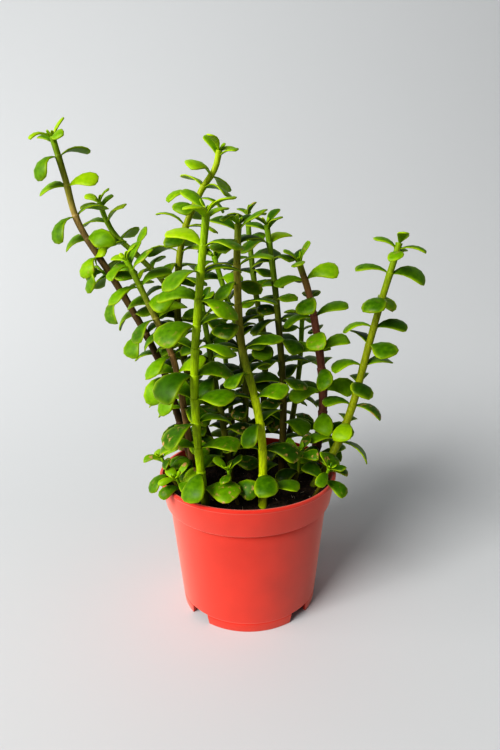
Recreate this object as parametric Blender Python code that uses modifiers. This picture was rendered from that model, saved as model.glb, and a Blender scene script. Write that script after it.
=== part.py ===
# Elephant bush (a leafy succulent) in a round plastic nursery pot.
# Metres, +Z up. The camera side of the plant faces -Y and its tall stem leans to -X.
# Every leafy stem is one grown piece: a jointed stem, its side shoots and its leaves, which stand
# in opposite pairs, each pair a quarter turn from the one below.

import math
import random

import bmesh
import bpy
from mathutils import Matrix, Vector, noise
from mathutils.bvhtree import BVHTree

# Pot
POT_HEIGHT = 0.094
RIM_RADIUS = 0.060
COLLAR_HEIGHT = 0.0195
COLLAR_FOOT_RADIUS = 0.0564
BODY_TOP_RADIUS = 0.0539
BASE_RADIUS = 0.0466
WALL = 0.0015
LIP = 0.0022
FOOT_WALL = 0.0022
PLATE_UNDERSIDE = 0.0070
PLATE_TOP = 0.0088
POT_STEPS = 36
NOTCHES = 4
NOTCH_HEIGHT = 0.0068
NOTCH_WIDTH_BELOW = 0.0170
NOTCH_WIDTH_ABOVE = 0.0142
DRAIN_RADIUS = 0.0045
DRAIN_SIDES = 10
DRAIN_RING_RADIUS = 0.028

# Soil
SOIL_TOP = 0.0855
SOIL_STEPS = 24
SOIL_RINGS = 4
SOIL_LUMP = 0.0013
SOIL_LUMP_SIZE = 0.011
SOIL_CROWN = 0.001
FIT_GAP = 0.0003
ROOT_DEPTH = 0.022
HOLE_SIDES = 7
HOLE_ABOVE = 0.012

# Stems. On a thick one each length ends in a ring just above the leaves of its node.
STEM_BEVEL_STEPS = 1
JOINTED_GIRTH = 0.0060
NODE_SWELL = 1.08
NODE_RISE = 0.0016
NODE_STEP = 0.0010
NEXT_LENGTH = 0.93
TIP_TAPER = 0.8
TIP_GAPS = (0.0045, 0.0010)
SHOOT_GIRTH = (0.0024, 0.0018)
SHOOT_PAIRS = (0.55, 0.96)
SHOOT_TURN = 35
SHOOT_AGES = (0.022, 0.008)
SHOOT_LOW = (0.75, 0.65)
SHOOT_HIGH = (0.45, 0.90)

# Leaves. The ranges are drawn from with each stem's own seed, and angles are in degrees.
# rise: how far a leaf first points up from the stem's square. arch: how far it bends down.
# roll: how far the blade is rolled about its midline, to face the light. A leaf is tested for
# what it meets from a share of its length onwards, because its root is sunk in its own stem.
CLEARANCE = 0.0007
TESTED_FROM = 0.16
MET_FROM = 0.12
LEAF_THICKNESS = 0.0014
THICK_LEAF = 0.016
THINNEST_SHARE = 0.7
RIDGE_SHARE = 0.7
LEAF_WIDTH_SHARE = 0.61
FULL_LEAF_BELOW_TIP = 0.014
TIP_LEAF_SHARE = 0.66
ROOT_SUNK_TO = 0.35
OLD_RISE = 40
YOUNG_RISE = 62
OLD_ARCH = 80
YOUNG_ARCH = 50
LIT_RISE = -8
LIT_ARCH = 28
LENGTH_RANGE = (0.90, 1.08)
WIDTH_RANGE = (0.88, 1.12)
YOUNG_WIDTH = 0.72
CUP_RANGE = (-0.08, 0.24)
ROLL_RANGE = (25, 85)
ANY_TURN = 10
ANY_RISE = 12
ANY_ARCH = 20
ANY_ROLL = 15
LIGHT_SIDE = Vector((-0.38, -0.85, 0.37))

# Where a blade is cut across along its length, and how wide and thick it is there.
BLADE_SECTIONS = ((0.0, 0.14, 1.0), (0.42, 0.74, 1.0), (0.82, 0.97, 0.9))
SMALL_SECTIONS = ((0.0, 0.14, 1.0), (0.62, 1.0, 1.0))
SMALL_LEAF = 0.0145

# What a leaf tries, in order, to stand clear of what is there: turn round the stem (degrees),
# lift (degrees) and share of its length.
DODGES = (
    (0, 0, 1.0),
    (12, 0, 1.0),
    (-12, 0, 1.0),
    (0, 14, 1.0),
    (22, -6, 1.0),
    (-22, -6, 1.0),
    (0, -16, 0.95),
    (32, 8, 0.92),
    (-32, 8, 0.92),
    (0, 26, 0.88),
    (44, 0, 0.84),
    (-44, 0, 0.84),
    (16, 30, 0.78),
    (-16, 30, 0.78),
    (0, 0, 0.68),
    (30, 20, 0.62),
    (-30, 20, 0.62),
    (0, 34, 0.55),
)

# The tall and short stems. route: from the hole in the soil to the tip. girth: thickness at the
# foot and at the tip. pairs: each pair of leaves, as its height and how far it is turned from
# left-right (degrees). leaf: length of a full-grown leaf. facing: how far the leaves roll their
# faces to the light, from 0 to 1. hang: how much lower than usual they hang on the light's side.
# shoots: (index of the pair, which leaf of it, length).
STEMS = {
    "leafy_stem_far_left": {
        "route": (
            (-0.038, 0.013, 0.088),
            (-0.046, 0.015, 0.117),
            (-0.056, 0.018, 0.155),
            (-0.069, 0.018, 0.187),
            (-0.087, 0.017, 0.222),
            (-0.106, 0.015, 0.257),
            (-0.112, 0.014, 0.285),
            (-0.1175, 0.014, 0.309),
        ),
        "girth": (0.0058, 0.0040),
        "pairs": (
            (0.094, 20), (0.106, -50), (0.121, 40), (0.138, -45), (0.155, 45), (0.170, -40),
            (0.184, 40), (0.197, -45), (0.210, 40), (0.223, -40), (0.235, 45), (0.247, -35),
            (0.261, 40), (0.279, -15), (0.296, 40),
        ),
        "leaf": 0.0235,
        "facing": 0.50,
        "hang": 2.2,
        "shoots": ((9, 1, 0.014),),
        "seed": 3,
    },
    "leafy_stem_back_left": {
        "route": (
            (-0.029, 0.036, 0.088),
            (-0.040, 0.041, 0.130),
            (-0.048, 0.043, 0.180),
            (-0.055, 0.040, 0.213),
            (-0.070, 0.038, 0.232),
            (-0.088, 0.040, 0.249),
            (-0.0945, 0.040, 0.260),
            (-0.0985, 0.040, 0.272),
        ),
        "girth": (0.0048, 0.0036),
        "pairs": (
            (0.100, -10), (0.112, 80), (0.128, -15), (0.145, 70), (0.160, -20), (0.174, 75),
            (0.188, -15), (0.201, 70), (0.214, -20), (0.226, 65), (0.236, -30), (0.246, 60),
            (0.258, -30),
        ),
        "leaf": 0.0216,
        "facing": 0.35,
        "hang": 1.0,
        "shoots": (),
        "seed": 11,
    },
    "leafy_stem_left": {
        "route": (
            (-0.036, -0.002, 0.088),
            (-0.040, 0.000, 0.118),
            (-0.045, 0.000, 0.158),
            (-0.051, -0.001, 0.182),
            (-0.064, -0.003, 0.214),
            (-0.073, -0.004, 0.235),
        ),
        "girth": (0.0052, 0.0038),
        "pairs": (
            (0.100, 30), (0.112, -50), (0.125, 40), (0.137, -40), (0.149, 45), (0.161, -35),
            (0.173, 45), (0.185, -40), (0.197, 40), (0.207, -45), (0.218, 30), (0.228, -40),
        ),
        "leaf": 0.0235,
        "facing": 0.40,
        "hang": 1.4,
        "shoots": (),
        "seed": 5,
    },
    "leafy_stem_tall_back": {
        "route": (
            (-0.020, 0.022, 0.088),
            (-0.036, 0.026, 0.130),
            (-0.046, 0.028, 0.180),
            (-0.047, 0.031, 0.215),
            (-0.042, 0.035, 0.250),
            (-0.030, 0.038, 0.277),
            (-0.020, 0.040, 0.292),
            (-0.0165, 0.040, 0.304),
        ),
        "girth": (0.0062, 0.0042),
        "pairs": (
            (0.100, -20), (0.115, 60), (0.131, -30), (0.148, 60), (0.164, -35), (0.179, 60),
            (0.193, -25), (0.206, 60), (0.217, -35), (0.227, 60), (0.237, -20), (0.246, 75),
            (0.255, -10), (0.264, 80), (0.2725, 5), (0.2795, -40), (0.287, 50),
        ),
        "leaf": 0.0235,
        "facing": 0.25,
        "hang": 1.0,
        "shoots": (),
        "seed": 8,
    },
    "leafy_stem_front_left": {
        "route": (
            (-0.027, -0.036, 0.088),
            (-0.030, -0.038, 0.125),
            (-0.0305, -0.041, 0.170),
            (-0.026, -0.043, 0.218),
            (-0.0205, -0.044, 0.262),
        ),
        "girth": (0.0060, 0.0044),
        "pairs": (
            (0.096, -20), (0.107, 75), (0.123, -15), (0.140, 50), (0.155, -30), (0.170, 40),
            (0.185, -35), (0.199, 35), (0.214, -30), (0.229, 45), (0.243, -25),
        ),
        "leaf": 0.0273,
        "facing": 0.22,
        "hang": 1.3,
        "shoots": (),
        "seed": 21,
    },
    "leafy_stem_front": {
        "route": (
            (0.009, -0.038, 0.088),
            (0.009, -0.035, 0.125),
            (0.005, -0.032, 0.153),
            (-0.003, -0.027, 0.187),
            (-0.005, -0.022, 0.229),
            (-0.004, -0.018, 0.256),
        ),
        "girth": (0.0060, 0.0042),
        "pairs": (
            (0.095, -20), (0.104, 85), (0.121, -5), (0.137, 70), (0.152, -20), (0.167, 60),
            (0.182, -20), (0.195, 70), (0.208, -10), (0.220, 65), (0.231, -15), (0.243, 60),
        ),
        "leaf": 0.0248,
        "facing": 0.35,
        "hang": 1.0,
        "shoots": (),
        "seed": 13,
    },
    "leafy_stem_back": {
        "route": (
            (0.008, 0.030, 0.088),
            (0.012, 0.032, 0.130),
            (0.013, 0.033, 0.174),
            (0.007, 0.037, 0.210),
            (0.003, 0.043, 0.245),
            (0.002, 0.046, 0.263),
        ),
        "girth": (0.0052, 0.0038),
        "pairs": (
            (0.106, 20), (0.120, -60), (0.133, 15), (0.146, -70), (0.159, 10), (0.172, -75),
            (0.185, 10), (0.198, -70), (0.211, 15), (0.222, -65), (0.233, 10), (0.245, -65),
        ),
        "leaf": 0.0222,
        "facing": 0.30,
        "hang": 1.0,
        "shoots": (),
        "seed": 17,
    },
    "leafy_stem_middle": {
        "route": (
            (0.024, 0.008, 0.088),
            (0.025, 0.012, 0.139),
            (0.023, 0.016, 0.177),
            (0.019, 0.019, 0.220),
            (0.014, 0.020, 0.256),
        ),
        "girth": (0.0056, 0.0040),
        "pairs": (
            (0.096, -45), (0.108, 45), (0.122, -45), (0.136, 40), (0.150, -50), (0.164, 35),
            (0.178, -60), (0.192, 20), (0.206, -65), (0.219, 25), (0.231, -55), (0.243, 40),
        ),
        "leaf": 0.0222,
        "facing": 0.30,
        "hang": 1.0,
        "shoots": (),
        "seed": 29,
    },
    "leafy_stem_mid_right": {
        "route": (
            (0.045, 0.013, 0.088),
            (0.052, 0.011, 0.125),
            (0.050, 0.009, 0.165),
            (0.042, 0.008, 0.208),
            (0.034, 0.008, 0.233),
        ),
        "girth": (0.0076, 0.0042),
        "pairs": (
            (0.094, -10), (0.104, 75), (0.116, -10), (0.129, 80), (0.145, 5), (0.160, 85),
            (0.172, -5), (0.184, 80), (0.196, 0), (0.208, 75), (0.220, -10),
        ),
        "leaf": 0.0229,
        "facing": 0.70,
        "hang": 1.0,
        "shoots": (),
        "seed": 31,
    },
    "leafy_stem_far_right": {
        "route": (
            (0.046, -0.010, 0.088),
            (0.060, -0.006, 0.113),
            (0.070, -0.003, 0.140),
            (0.0775, 0.000, 0.170),
            (0.085, 0.001, 0.202),
            (0.0925, 0.000, 0.232),
            (0.0955, 0.000, 0.244),
        ),
        "girth": (0.0062, 0.0042),
        "pairs": (
            (0.094, -10), (0.104, 70), (0.114, 0), (0.126, 75), (0.139, 5), (0.152, 80),
            (0.165, 15), (0.178, -75), (0.190, -5), (0.208, 70), (0.224, -5), (0.236, 70),
        ),
        "leaf": 0.0229,
        "facing": 0.35,
        "hang": 1.0,
        "shoots": (),
        "seed": 37,
    },
    "leafy_stem_back_middle": {
        "route": (
            (-0.004, 0.018, 0.088),
            (-0.001, 0.020, 0.140),
            (-0.006, 0.022, 0.185),
            (-0.013, 0.024, 0.208),
            (-0.021, 0.025, 0.236),
        ),
        "girth": (0.0050, 0.0036),
        "pairs": (
            (0.106, 60), (0.119, -25), (0.132, 65), (0.145, -30), (0.158, 60), (0.171, -35),
            (0.184, 55), (0.197, -40), (0.209, 45), (0.220, -45),
        ),
        "leaf": 0.0216,
        "facing": 0.45,
        "hang": 1.0,
        "shoots": (),
        "seed": 41,
    },
    "leafy_stem_inner": {
        "route": (
            (-0.012, 0.002, 0.088),
            (-0.016, 0.006, 0.120),
            (-0.021, 0.010, 0.150),
            (-0.027, 0.012, 0.190),
            (-0.029, 0.010, 0.206),
        ),
        "girth": (0.0054, 0.0036),
        "pairs": (
            (0.096, -20), (0.107, 50), (0.119, -45), (0.131, 40), (0.143, -50), (0.155, 35),
            (0.167, -45), (0.179, 40), (0.192, -40),
        ),
        "leaf": 0.0229,
        "facing": 0.50,
        "hang": 1.0,
        "shoots": (),
        "seed": 43,
    },
    "leafy_stem_back_right": {
        "route": (
            (0.028, 0.034, 0.088),
            (0.035, 0.044, 0.120),
            (0.040, 0.052, 0.155),
            (0.042, 0.058, 0.190),
        ),
        "girth": (0.0048, 0.0036),
        "pairs": (
            (0.105, 30), (0.117, -55), (0.129, 35), (0.141, -50), (0.153, 40), (0.166, -45),
            (0.179, 40),
        ),
        "leaf": 0.0229,
        "facing": 0.30,
        "hang": 1.0,
        "shoots": (),
        "seed": 47,
    },
    "leafy_stem_rear": {
        "route": (
            (-0.010, 0.046, 0.088),
            (-0.013, 0.058, 0.120),
            (-0.016, 0.066, 0.150),
            (-0.018, 0.071, 0.182),
        ),
        "girth": (0.0048, 0.0036),
        "pairs": (
            (0.109, 60), (0.126, -20), (0.142, 65), (0.157, -25), (0.171, 60),
        ),
        "leaf": 0.0229,
        "facing": 0.30,
        "hang": 1.0,
        "shoots": (),
        "seed": 53,
    },
    "low_shoot_left": {
        "route": (
            (-0.047, -0.014, 0.088),
            (-0.052, -0.016, 0.098),
            (-0.056, -0.017, 0.110),
        ),
        "girth": (0.0030, 0.0020),
        "pairs": ((0.097, 20),),
        "leaf": 0.0191,
        "facing": 0.60,
        "hang": 1.0,
        "shoots": (),
        "seed": 59,
    },
    "low_shoot_front_left": {
        "route": (
            (-0.039, -0.029, 0.088),
            (-0.042, -0.033, 0.096),
            (-0.044, -0.036, 0.104),
        ),
        "girth": (0.0028, 0.0020),
        "pairs": ((0.0955, 35),),
        "leaf": 0.0191,
        "facing": 0.60,
        "hang": 1.0,
        "shoots": (),
        "seed": 61,
    },
    "low_shoot_front": {
        "route": (
            (-0.007, -0.036, 0.088),
            (-0.010, -0.038, 0.098),
            (-0.012, -0.038, 0.110),
        ),
        "girth": (0.0028, 0.0020),
        "pairs": ((0.097, -10),),
        "leaf": 0.0191,
        "facing": 0.50,
        "hang": 1.0,
        "shoots": (),
        "seed": 67,
    },
    "low_shoot_front_right": {
        "route": (
            (0.030, -0.016, 0.088),
            (0.033, -0.018, 0.100),
            (0.033, -0.020, 0.114),
        ),
        "girth": (0.0030, 0.0020),
        "pairs": ((0.099, 45),),
        "leaf": 0.0197,
        "facing": 0.60,
        "hang": 1.0,
        "shoots": (),
        "seed": 71,
    },
    "low_shoot_right": {
        "route": (
            (0.044, -0.026, 0.088),
            (0.048, -0.029, 0.098),
            (0.051, -0.031, 0.107),
        ),
        "girth": (0.0030, 0.0020),
        "pairs": ((0.0965, -35),),
        "leaf": 0.0197,
        "facing": 0.50,
        "hang": 1.0,
        "shoots": (),
        "seed": 73,
    },
}

POT_COLOUR = (0.86, 0.085, 0.040, 1.0)
SOIL_COLOUR = (0.018, 0.013, 0.010, 1.0)
PLANT_COLOUR = (0.13, 0.30, 0.012, 1.0)


def clear_scene():
    for obj in list(bpy.data.objects):
        bpy.data.objects.remove(obj, do_unlink=True)


def new_collection(name):
    collection = bpy.data.collections.new(name)
    bpy.context.scene.collection.children.link(collection)
    return collection


def material(name, colour, roughness):
    made = bpy.data.materials.new(name)
    made.use_nodes = True
    shader = made.node_tree.nodes["Principled BSDF"]
    shader.inputs["Base Color"].default_value = colour
    shader.inputs["Roughness"].default_value = roughness
    shader.inputs["Metallic"].default_value = 0.0
    made.diffuse_color = colour
    return made


def mesh_object(name, vertices, faces, collection):
    mesh = bpy.data.meshes.new(name)
    mesh.from_pydata(vertices, [], faces)
    obj = bpy.data.objects.new(name, mesh)
    collection.objects.link(obj)
    return obj


def to_mesh(obj):
    """The object as a plain closed mesh: its modifiers applied, or its curve turned to faces."""
    graph = bpy.context.evaluated_depsgraph_get()
    mesh = bpy.data.meshes.new_from_object(obj.evaluated_get(graph))
    shape = bmesh.new()
    shape.from_mesh(mesh)
    bmesh.ops.remove_doubles(shape, verts=shape.verts, dist=1e-6)
    bmesh.ops.recalc_face_normals(shape, faces=shape.faces)
    shape.to_mesh(mesh)
    shape.free()
    made = bpy.data.objects.new(obj.name + ".mesh", mesh)
    made.matrix_world = obj.matrix_world
    for collection in obj.users_collection:
        collection.objects.link(made)
    name = obj.name
    bpy.data.objects.remove(obj, do_unlink=True)
    made.name = name
    return made


def screw(name, profile, steps, collection):
    """Turns a profile, which runs down its outer side, into a closed round body."""
    edges = [(i, i + 1) for i in range(len(profile) - 1)]
    mesh = bpy.data.meshes.new(name)
    mesh.from_pydata([(radius, 0, height) for radius, height in profile], edges, [])
    obj = bpy.data.objects.new(name, mesh)
    collection.objects.link(obj)
    turned = obj.modifiers.new("turned", "SCREW")
    turned.steps = turned.render_steps = steps
    turned.use_merge_vertices = True
    turned.merge_threshold = 1e-5
    return obj


def cut(obj, cutters):
    """Cuts a collection of closed shapes from the object and removes them."""
    difference = obj.modifiers.new("cut", "BOOLEAN")
    difference.operation = "DIFFERENCE"
    difference.operand_type = "COLLECTION"
    difference.collection = cutters
    made = to_mesh(obj)
    remove_collection(cutters)
    return made


def remove_collection(collection):
    for obj in list(collection.objects):
        bpy.data.objects.remove(obj, do_unlink=True)
    bpy.data.collections.remove(collection)


def outer_radius(height):
    """Outside radius of the pot's wall at a height."""
    collar_foot = POT_HEIGHT - COLLAR_HEIGHT
    if height >= collar_foot:
        share = (height - collar_foot) / COLLAR_HEIGHT
        return COLLAR_FOOT_RADIUS + (RIM_RADIUS - COLLAR_FOOT_RADIUS) * share
    return BASE_RADIUS + (BODY_TOP_RADIUS - BASE_RADIUS) * height / collar_foot


def pot_profile():
    """Up the inside from the middle of the base plate, over the lip and down the outside."""
    collar_foot = POT_HEIGHT - COLLAR_HEIGHT
    ledge = collar_foot + WALL
    inner = RIM_RADIUS - LIP
    return [
        (0.0, PLATE_TOP),
        (outer_radius(PLATE_TOP) - WALL, PLATE_TOP),
        (BODY_TOP_RADIUS - WALL, ledge),
        (COLLAR_FOOT_RADIUS - WALL, ledge),
        (inner, POT_HEIGHT - 0.3 * LIP),
        (inner + 0.4 * LIP, POT_HEIGHT),
        (RIM_RADIUS - 0.2 * LIP, POT_HEIGHT - 0.1 * LIP),
        (RIM_RADIUS, POT_HEIGHT - 0.7 * LIP),
        (COLLAR_FOOT_RADIUS, collar_foot),
        (BODY_TOP_RADIUS, collar_foot),
        (BASE_RADIUS, 0.0),
        (BASE_RADIUS - FOOT_WALL, 0.0),
        (BASE_RADIUS - FOOT_WALL, PLATE_UNDERSIDE),
        (0.0, PLATE_UNDERSIDE),
    ]


def notch_cutter(number, cutters):
    """A wedge through the foot skirt, a little narrower at the top."""
    shape = bmesh.new()
    bmesh.ops.create_cube(shape, size=1.0)
    reach = 4 * FOOT_WALL
    for vertex in shape.verts:
        below = vertex.co.z < 0
        width = NOTCH_WIDTH_BELOW if below else NOTCH_WIDTH_ABOVE
        vertex.co.x = BASE_RADIUS - 0.5 * FOOT_WALL + reach * vertex.co.x
        vertex.co.y *= width
        vertex.co.z = -FOOT_WALL if below else NOTCH_HEIGHT
    mesh = bpy.data.meshes.new("notch")
    shape.to_mesh(mesh)
    shape.free()
    obj = bpy.data.objects.new("notch", mesh)
    turn = math.radians(45 + 360 / NOTCHES * number)
    obj.matrix_world = Matrix.Rotation(turn, 4, "Z")
    cutters.objects.link(obj)


def drain_cutter(number, cutters):
    turn = math.radians(360 / NOTCHES * number)
    shape = bmesh.new()
    bmesh.ops.create_cone(
        shape,
        cap_ends=True,
        segments=DRAIN_SIDES,
        radius1=DRAIN_RADIUS,
        radius2=DRAIN_RADIUS,
        depth=2 * PLATE_TOP,
    )
    mesh = bpy.data.meshes.new("drain")
    shape.to_mesh(mesh)
    shape.free()
    obj = bpy.data.objects.new("drain", mesh)
    place = (DRAIN_RING_RADIUS * math.cos(turn), DRAIN_RING_RADIUS * math.sin(turn), PLATE_TOP)
    obj.matrix_world = Matrix.Translation(place)
    cutters.objects.link(obj)


def make_pot(parts):
    pot = screw("pot", pot_profile(), POT_STEPS, parts)
    cutters = new_collection("pot cutters")
    for number in range(NOTCHES):
        notch_cutter(number, cutters)
        drain_cutter(number, cutters)
    return cut(pot, cutters)


def soil_edge():
    """Radius of the soil's top, clear of the collar, whose wall leans in a little there."""
    return outer_radius(SOIL_TOP) - 1.4 * WALL - FIT_GAP


def soil_profile():
    """Down the outside from the middle of the soil's top, 0.3 mm clear of the pot."""
    ledge = POT_HEIGHT - COLLAR_HEIGHT + WALL
    edge = soil_edge()
    bottom = PLATE_TOP + FIT_GAP
    top = [(edge * ring / SOIL_RINGS, SOIL_TOP) for ring in range(SOIL_RINGS + 1)]
    return top + [
        (COLLAR_FOOT_RADIUS - WALL - FIT_GAP, ledge + FIT_GAP),
        (BODY_TOP_RADIUS - WALL - FIT_GAP, ledge + FIT_GAP),
        (outer_radius(bottom) - WALL - FIT_GAP, bottom),
        (0.0, bottom),
    ]


def hole_cutter(name, stem, holes):
    """A plain round hole, 0.3 mm wider than the stem all round, down to its foot."""
    foot = foot_of(stem)
    direction = (Vector(stem["route"][1]) - Vector(stem["route"][0])).normalized()
    radius = (0.5 * stem["girth"][0] + FIT_GAP) / math.cos(math.pi / HOLE_SIDES)
    low = foot - direction * FIT_GAP
    length = ROOT_DEPTH + HOLE_ABOVE
    shape = bmesh.new()
    bmesh.ops.create_cone(
        shape, cap_ends=True, segments=HOLE_SIDES, radius1=radius, radius2=radius, depth=length
    )
    mesh = bpy.data.meshes.new("hole")
    shape.to_mesh(mesh)
    shape.free()
    obj = bpy.data.objects.new("hole." + name, mesh)
    turn = direction.to_track_quat("Z", "Y").to_matrix().to_4x4()
    obj.matrix_world = Matrix.Translation(low + direction * length / 2) @ turn
    holes.objects.link(obj)


def make_soil(parts):
    soil = to_mesh(screw("soil", soil_profile(), SOIL_STEPS, parts))
    edge = soil_edge()
    for vertex in soil.data.vertices:
        place = vertex.co
        away = place.xy.length
        if abs(place.z - SOIL_TOP) < 1e-5 and away < 0.95 * edge:
            lump = noise.noise(Vector((place.x, place.y, 0.0)) / SOIL_LUMP_SIZE)
            place.z += SOIL_LUMP * lump + SOIL_CROWN * (1 - away / edge)
    holes = new_collection("soil holes")
    for name, stem in STEMS.items():
        hole_cutter(name, stem, holes)
    return cut(soil, holes)


def foot_of(stem):
    """The stem's lower end, straight down its first stretch and under the soil's surface."""
    first, second = (Vector(place) for place in stem["route"][:2])
    direction = (second - first).normalized()
    return first - direction * ROOT_DEPTH


def smooth_trace(places, step=0.001):
    """Points about a millimetre apart on a smooth curve through the places."""
    ends = [2 * places[0] - places[1], *places, 2 * places[-1] - places[-2]]
    trace = []
    for before, start, end, after in zip(ends, ends[1:], ends[2:], ends[3:]):
        count = max(2, round((end - start).length / step))
        for i in range(count):
            t = i / count
            trace.append(
                0.5
                * (
                    2 * start
                    + (end - before) * t
                    + (2 * before - 5 * start + 4 * end - after) * t * t
                    + (3 * start - before - 3 * end + after) * t * t * t
                )
            )
    trace.append(places[-1])
    return trace


def lengths_along(trace):
    total, lengths = 0.0, [0.0]
    for first, second in zip(trace, trace[1:]):
        total += (second - first).length
        lengths.append(total)
    return lengths


def point_along(trace, lengths, distance):
    """Place and direction at a distance along the trace."""
    index = next((i for i, reached in enumerate(lengths) if reached >= distance), len(trace) - 1)
    index = max(1, index)
    low, high = max(0, index - 3), min(len(trace) - 1, index + 3)
    share = (distance - lengths[index - 1]) / max(lengths[index] - lengths[index - 1], 1e-9)
    place = trace[index - 1].lerp(trace[index], min(1.0, max(0.0, share)))
    return place, (trace[high] - trace[low]).normalized()


def distance_at_height(trace, lengths, height):
    index = next((i for i, place in enumerate(trace) if place.z >= height), len(trace) - 1)
    return lengths[index]


def stem_tube(name, trace, lengths, nodes, girth, collection):
    """A tapered tube through its nodes, with their rings if it is thick."""
    total = lengths[-1]

    def radius_at(distance):
        share = distance / total
        return 0.5 * (girth[0] + (girth[1] - girth[0]) * share)

    rings = [(0.0, radius_at(0.0))]
    for distance in nodes:
        ring = distance + NODE_RISE
        if girth[0] < JOINTED_GIRTH:
            rings.append((ring, radius_at(ring)))
        else:
            rings.append((ring, NODE_SWELL * radius_at(ring)))
            rings.append((ring + NODE_STEP, NEXT_LENGTH * radius_at(ring)))
    rings.append((total, TIP_TAPER * radius_at(total)))
    curve = bpy.data.curves.new(name, "CURVE")
    curve.dimensions = "3D"
    curve.bevel_depth = 1.0
    curve.bevel_resolution = STEM_BEVEL_STEPS
    curve.use_fill_caps = True
    spline = curve.splines.new("POLY")
    spline.points.add(len(rings) - 1)
    for point, (distance, radius) in zip(spline.points, rings):
        place, _ = point_along(trace, lengths, distance)
        point.co = (*place, 1.0)
        point.radius = radius
    obj = bpy.data.objects.new(name, curve)
    collection.objects.link(obj)
    return to_mesh(obj)


def blade_mesh(leaf, extra=0.0, start=0.0):
    """Vertices and triangles of a blade: a loft of thin sections, ridged on top, along a bent midline.

    extra grows it on every side, and start leaves out its root, for the test of what it meets.
    """
    root, axis, outward = leaf["root"], leaf["axis"], leaf["outward"]
    length, rise, arch, roll = leaf["length"], leaf["rise"], leaf["arch"], leaf["roll"]
    across = axis.cross(outward)
    vertices, faces = [], []

    def section(share, wide, thick):
        angle = rise - arch * share
        reach = length / arch * (math.sin(rise) - math.sin(angle))
        climb = length / arch * (math.cos(angle) - math.cos(rise))
        over = axis * math.cos(angle) - outward * math.sin(angle)
        side = across * math.cos(roll) + over * math.sin(roll)
        face = over * math.cos(roll) - across * math.sin(roll)
        middle = root + outward * reach + axis * climb
        half_width = 0.5 * leaf["width"] * wide + extra
        depth = leaf["thickness"] * thick
        cup = leaf["cup"] * 0.5 * leaf["width"] * wide
        droop = face * (cup + (1 - RIDGE_SHARE) * depth + extra)
        return (
            middle - side * half_width - droop,
            middle + face * (RIDGE_SHARE * depth + extra),
            middle + side * half_width - droop,
        )

    sections = SMALL_SECTIONS if length < SMALL_LEAF else BLADE_SECTIONS
    for share, wide, thick in sections:
        vertices.extend(section(max(share, start), wide, thick))
    vertices.append(section(1.0, 0.0, 0.0)[1])
    faces.append((0, 1, 2))
    last = 3 * (len(sections) - 1)
    for i in range(0, last, 3):
        left, ridge, right = i, i + 1, i + 2
        for edge in (left, right):
            faces.append((edge, ridge, ridge + 3))
            faces.append((edge, ridge + 3, edge + 3))
        faces.append((left, right, right + 3))
        faces.append((left, right + 3, left + 3))
    for i in range(3):
        faces.append((last + i, last + (i + 1) % 3, len(vertices) - 1))
    return vertices, faces


def make_leaf(root, axis, outward, size, stem, youth, draw):
    """One leaf's sizes, with small drawn differences. It rolls its face to the light, and on
    the light's side of the stem it hangs lower. A young one is slim and stands up."""
    length = size * draw.uniform(*LENGTH_RANGE)
    slim = 1.0 - (1.0 - YOUNG_WIDTH) * youth
    rise = OLD_RISE + (YOUNG_RISE - OLD_RISE) * youth
    arch = OLD_ARCH + (YOUNG_ARCH - OLD_ARCH) * youth
    turned = -axis.cross(outward).dot(LIGHT_SIDE) * stem["facing"]
    lit = max(0.0, outward.dot(LIGHT_SIDE)) * stem["hang"]
    return {
        "root": root,
        "axis": axis,
        "outward": outward,
        "length": length,
        "width": length * LEAF_WIDTH_SHARE * draw.uniform(*WIDTH_RANGE) * slim,
        "thickness": LEAF_THICKNESS * max(THINNEST_SHARE, min(1.0, length / THICK_LEAF)),
        "rise": math.radians(rise + LIT_RISE * lit + draw.uniform(-ANY_RISE, ANY_RISE)),
        "arch": math.radians(arch + LIT_ARCH * lit + draw.uniform(-ANY_ARCH, ANY_ARCH)),
        "cup": draw.uniform(*CUP_RANGE),
        "roll": math.radians(turned * draw.uniform(*ROLL_RANGE) + draw.uniform(-ANY_ROLL, ANY_ROLL)),
    }


class Neighbours:
    """What a new leaf has to stay clear of, as searchable surfaces with a ball round each."""

    def __init__(self):
        self.surfaces = []

    def add(self, vertices, faces, owner):
        centre = sum(vertices, Vector()) / len(vertices)
        radius = max((vertex - centre).length for vertex in vertices)
        tree = BVHTree.FromPolygons(vertices, faces)
        self.surfaces.append((centre, radius, tree, owner))

    def add_object(self, obj, owner):
        obj.data.calc_loop_triangles()
        vertices = [obj.matrix_world @ vertex.co for vertex in obj.data.vertices]
        faces = [tuple(triangle.vertices) for triangle in obj.data.loop_triangles]
        self.add(vertices, faces, owner)

    def meets(self, vertices, faces, skipped):
        centre = sum(vertices, Vector()) / len(vertices)
        radius = max((vertex - centre).length for vertex in vertices)
        tree = BVHTree.FromPolygons(vertices, faces)
        for other_centre, other_radius, other, owner in self.surfaces:
            if owner in skipped or (centre - other_centre).length > radius + other_radius:
                continue
            if tree.overlap(other):
                return True
        return False


def settle(leaf, neighbours, skipped):
    """The leaf as it is, or bent, turned or shortened until it stands clear, or None."""
    for turn, lift, share in DODGES:
        tried = dict(leaf)
        tried["outward"] = Matrix.Rotation(math.radians(turn), 3, leaf["axis"]) @ leaf["outward"]
        tried["rise"] = leaf["rise"] + math.radians(lift)
        tried["length"] = leaf["length"] * share
        tried["width"] = leaf["width"] * share
        vertices, faces = blade_mesh(tried, extra=CLEARANCE, start=TESTED_FROM)
        if not neighbours.meets(vertices, faces, skipped):
            neighbours.add(*blade_mesh(tried, start=MET_FROM), "leaf")
            return tried
    return None


def pair_nodes(stem, trace, lengths):
    """Distance along the stem and turn of each leaf pair: the listed ones, then the tip's."""
    nodes = [(distance_at_height(trace, lengths, height), turn) for height, turn in stem["pairs"]]
    for gap in TIP_GAPS:
        nodes.append((lengths[-1] - gap, nodes[-1][1] + 90))
    return nodes


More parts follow.
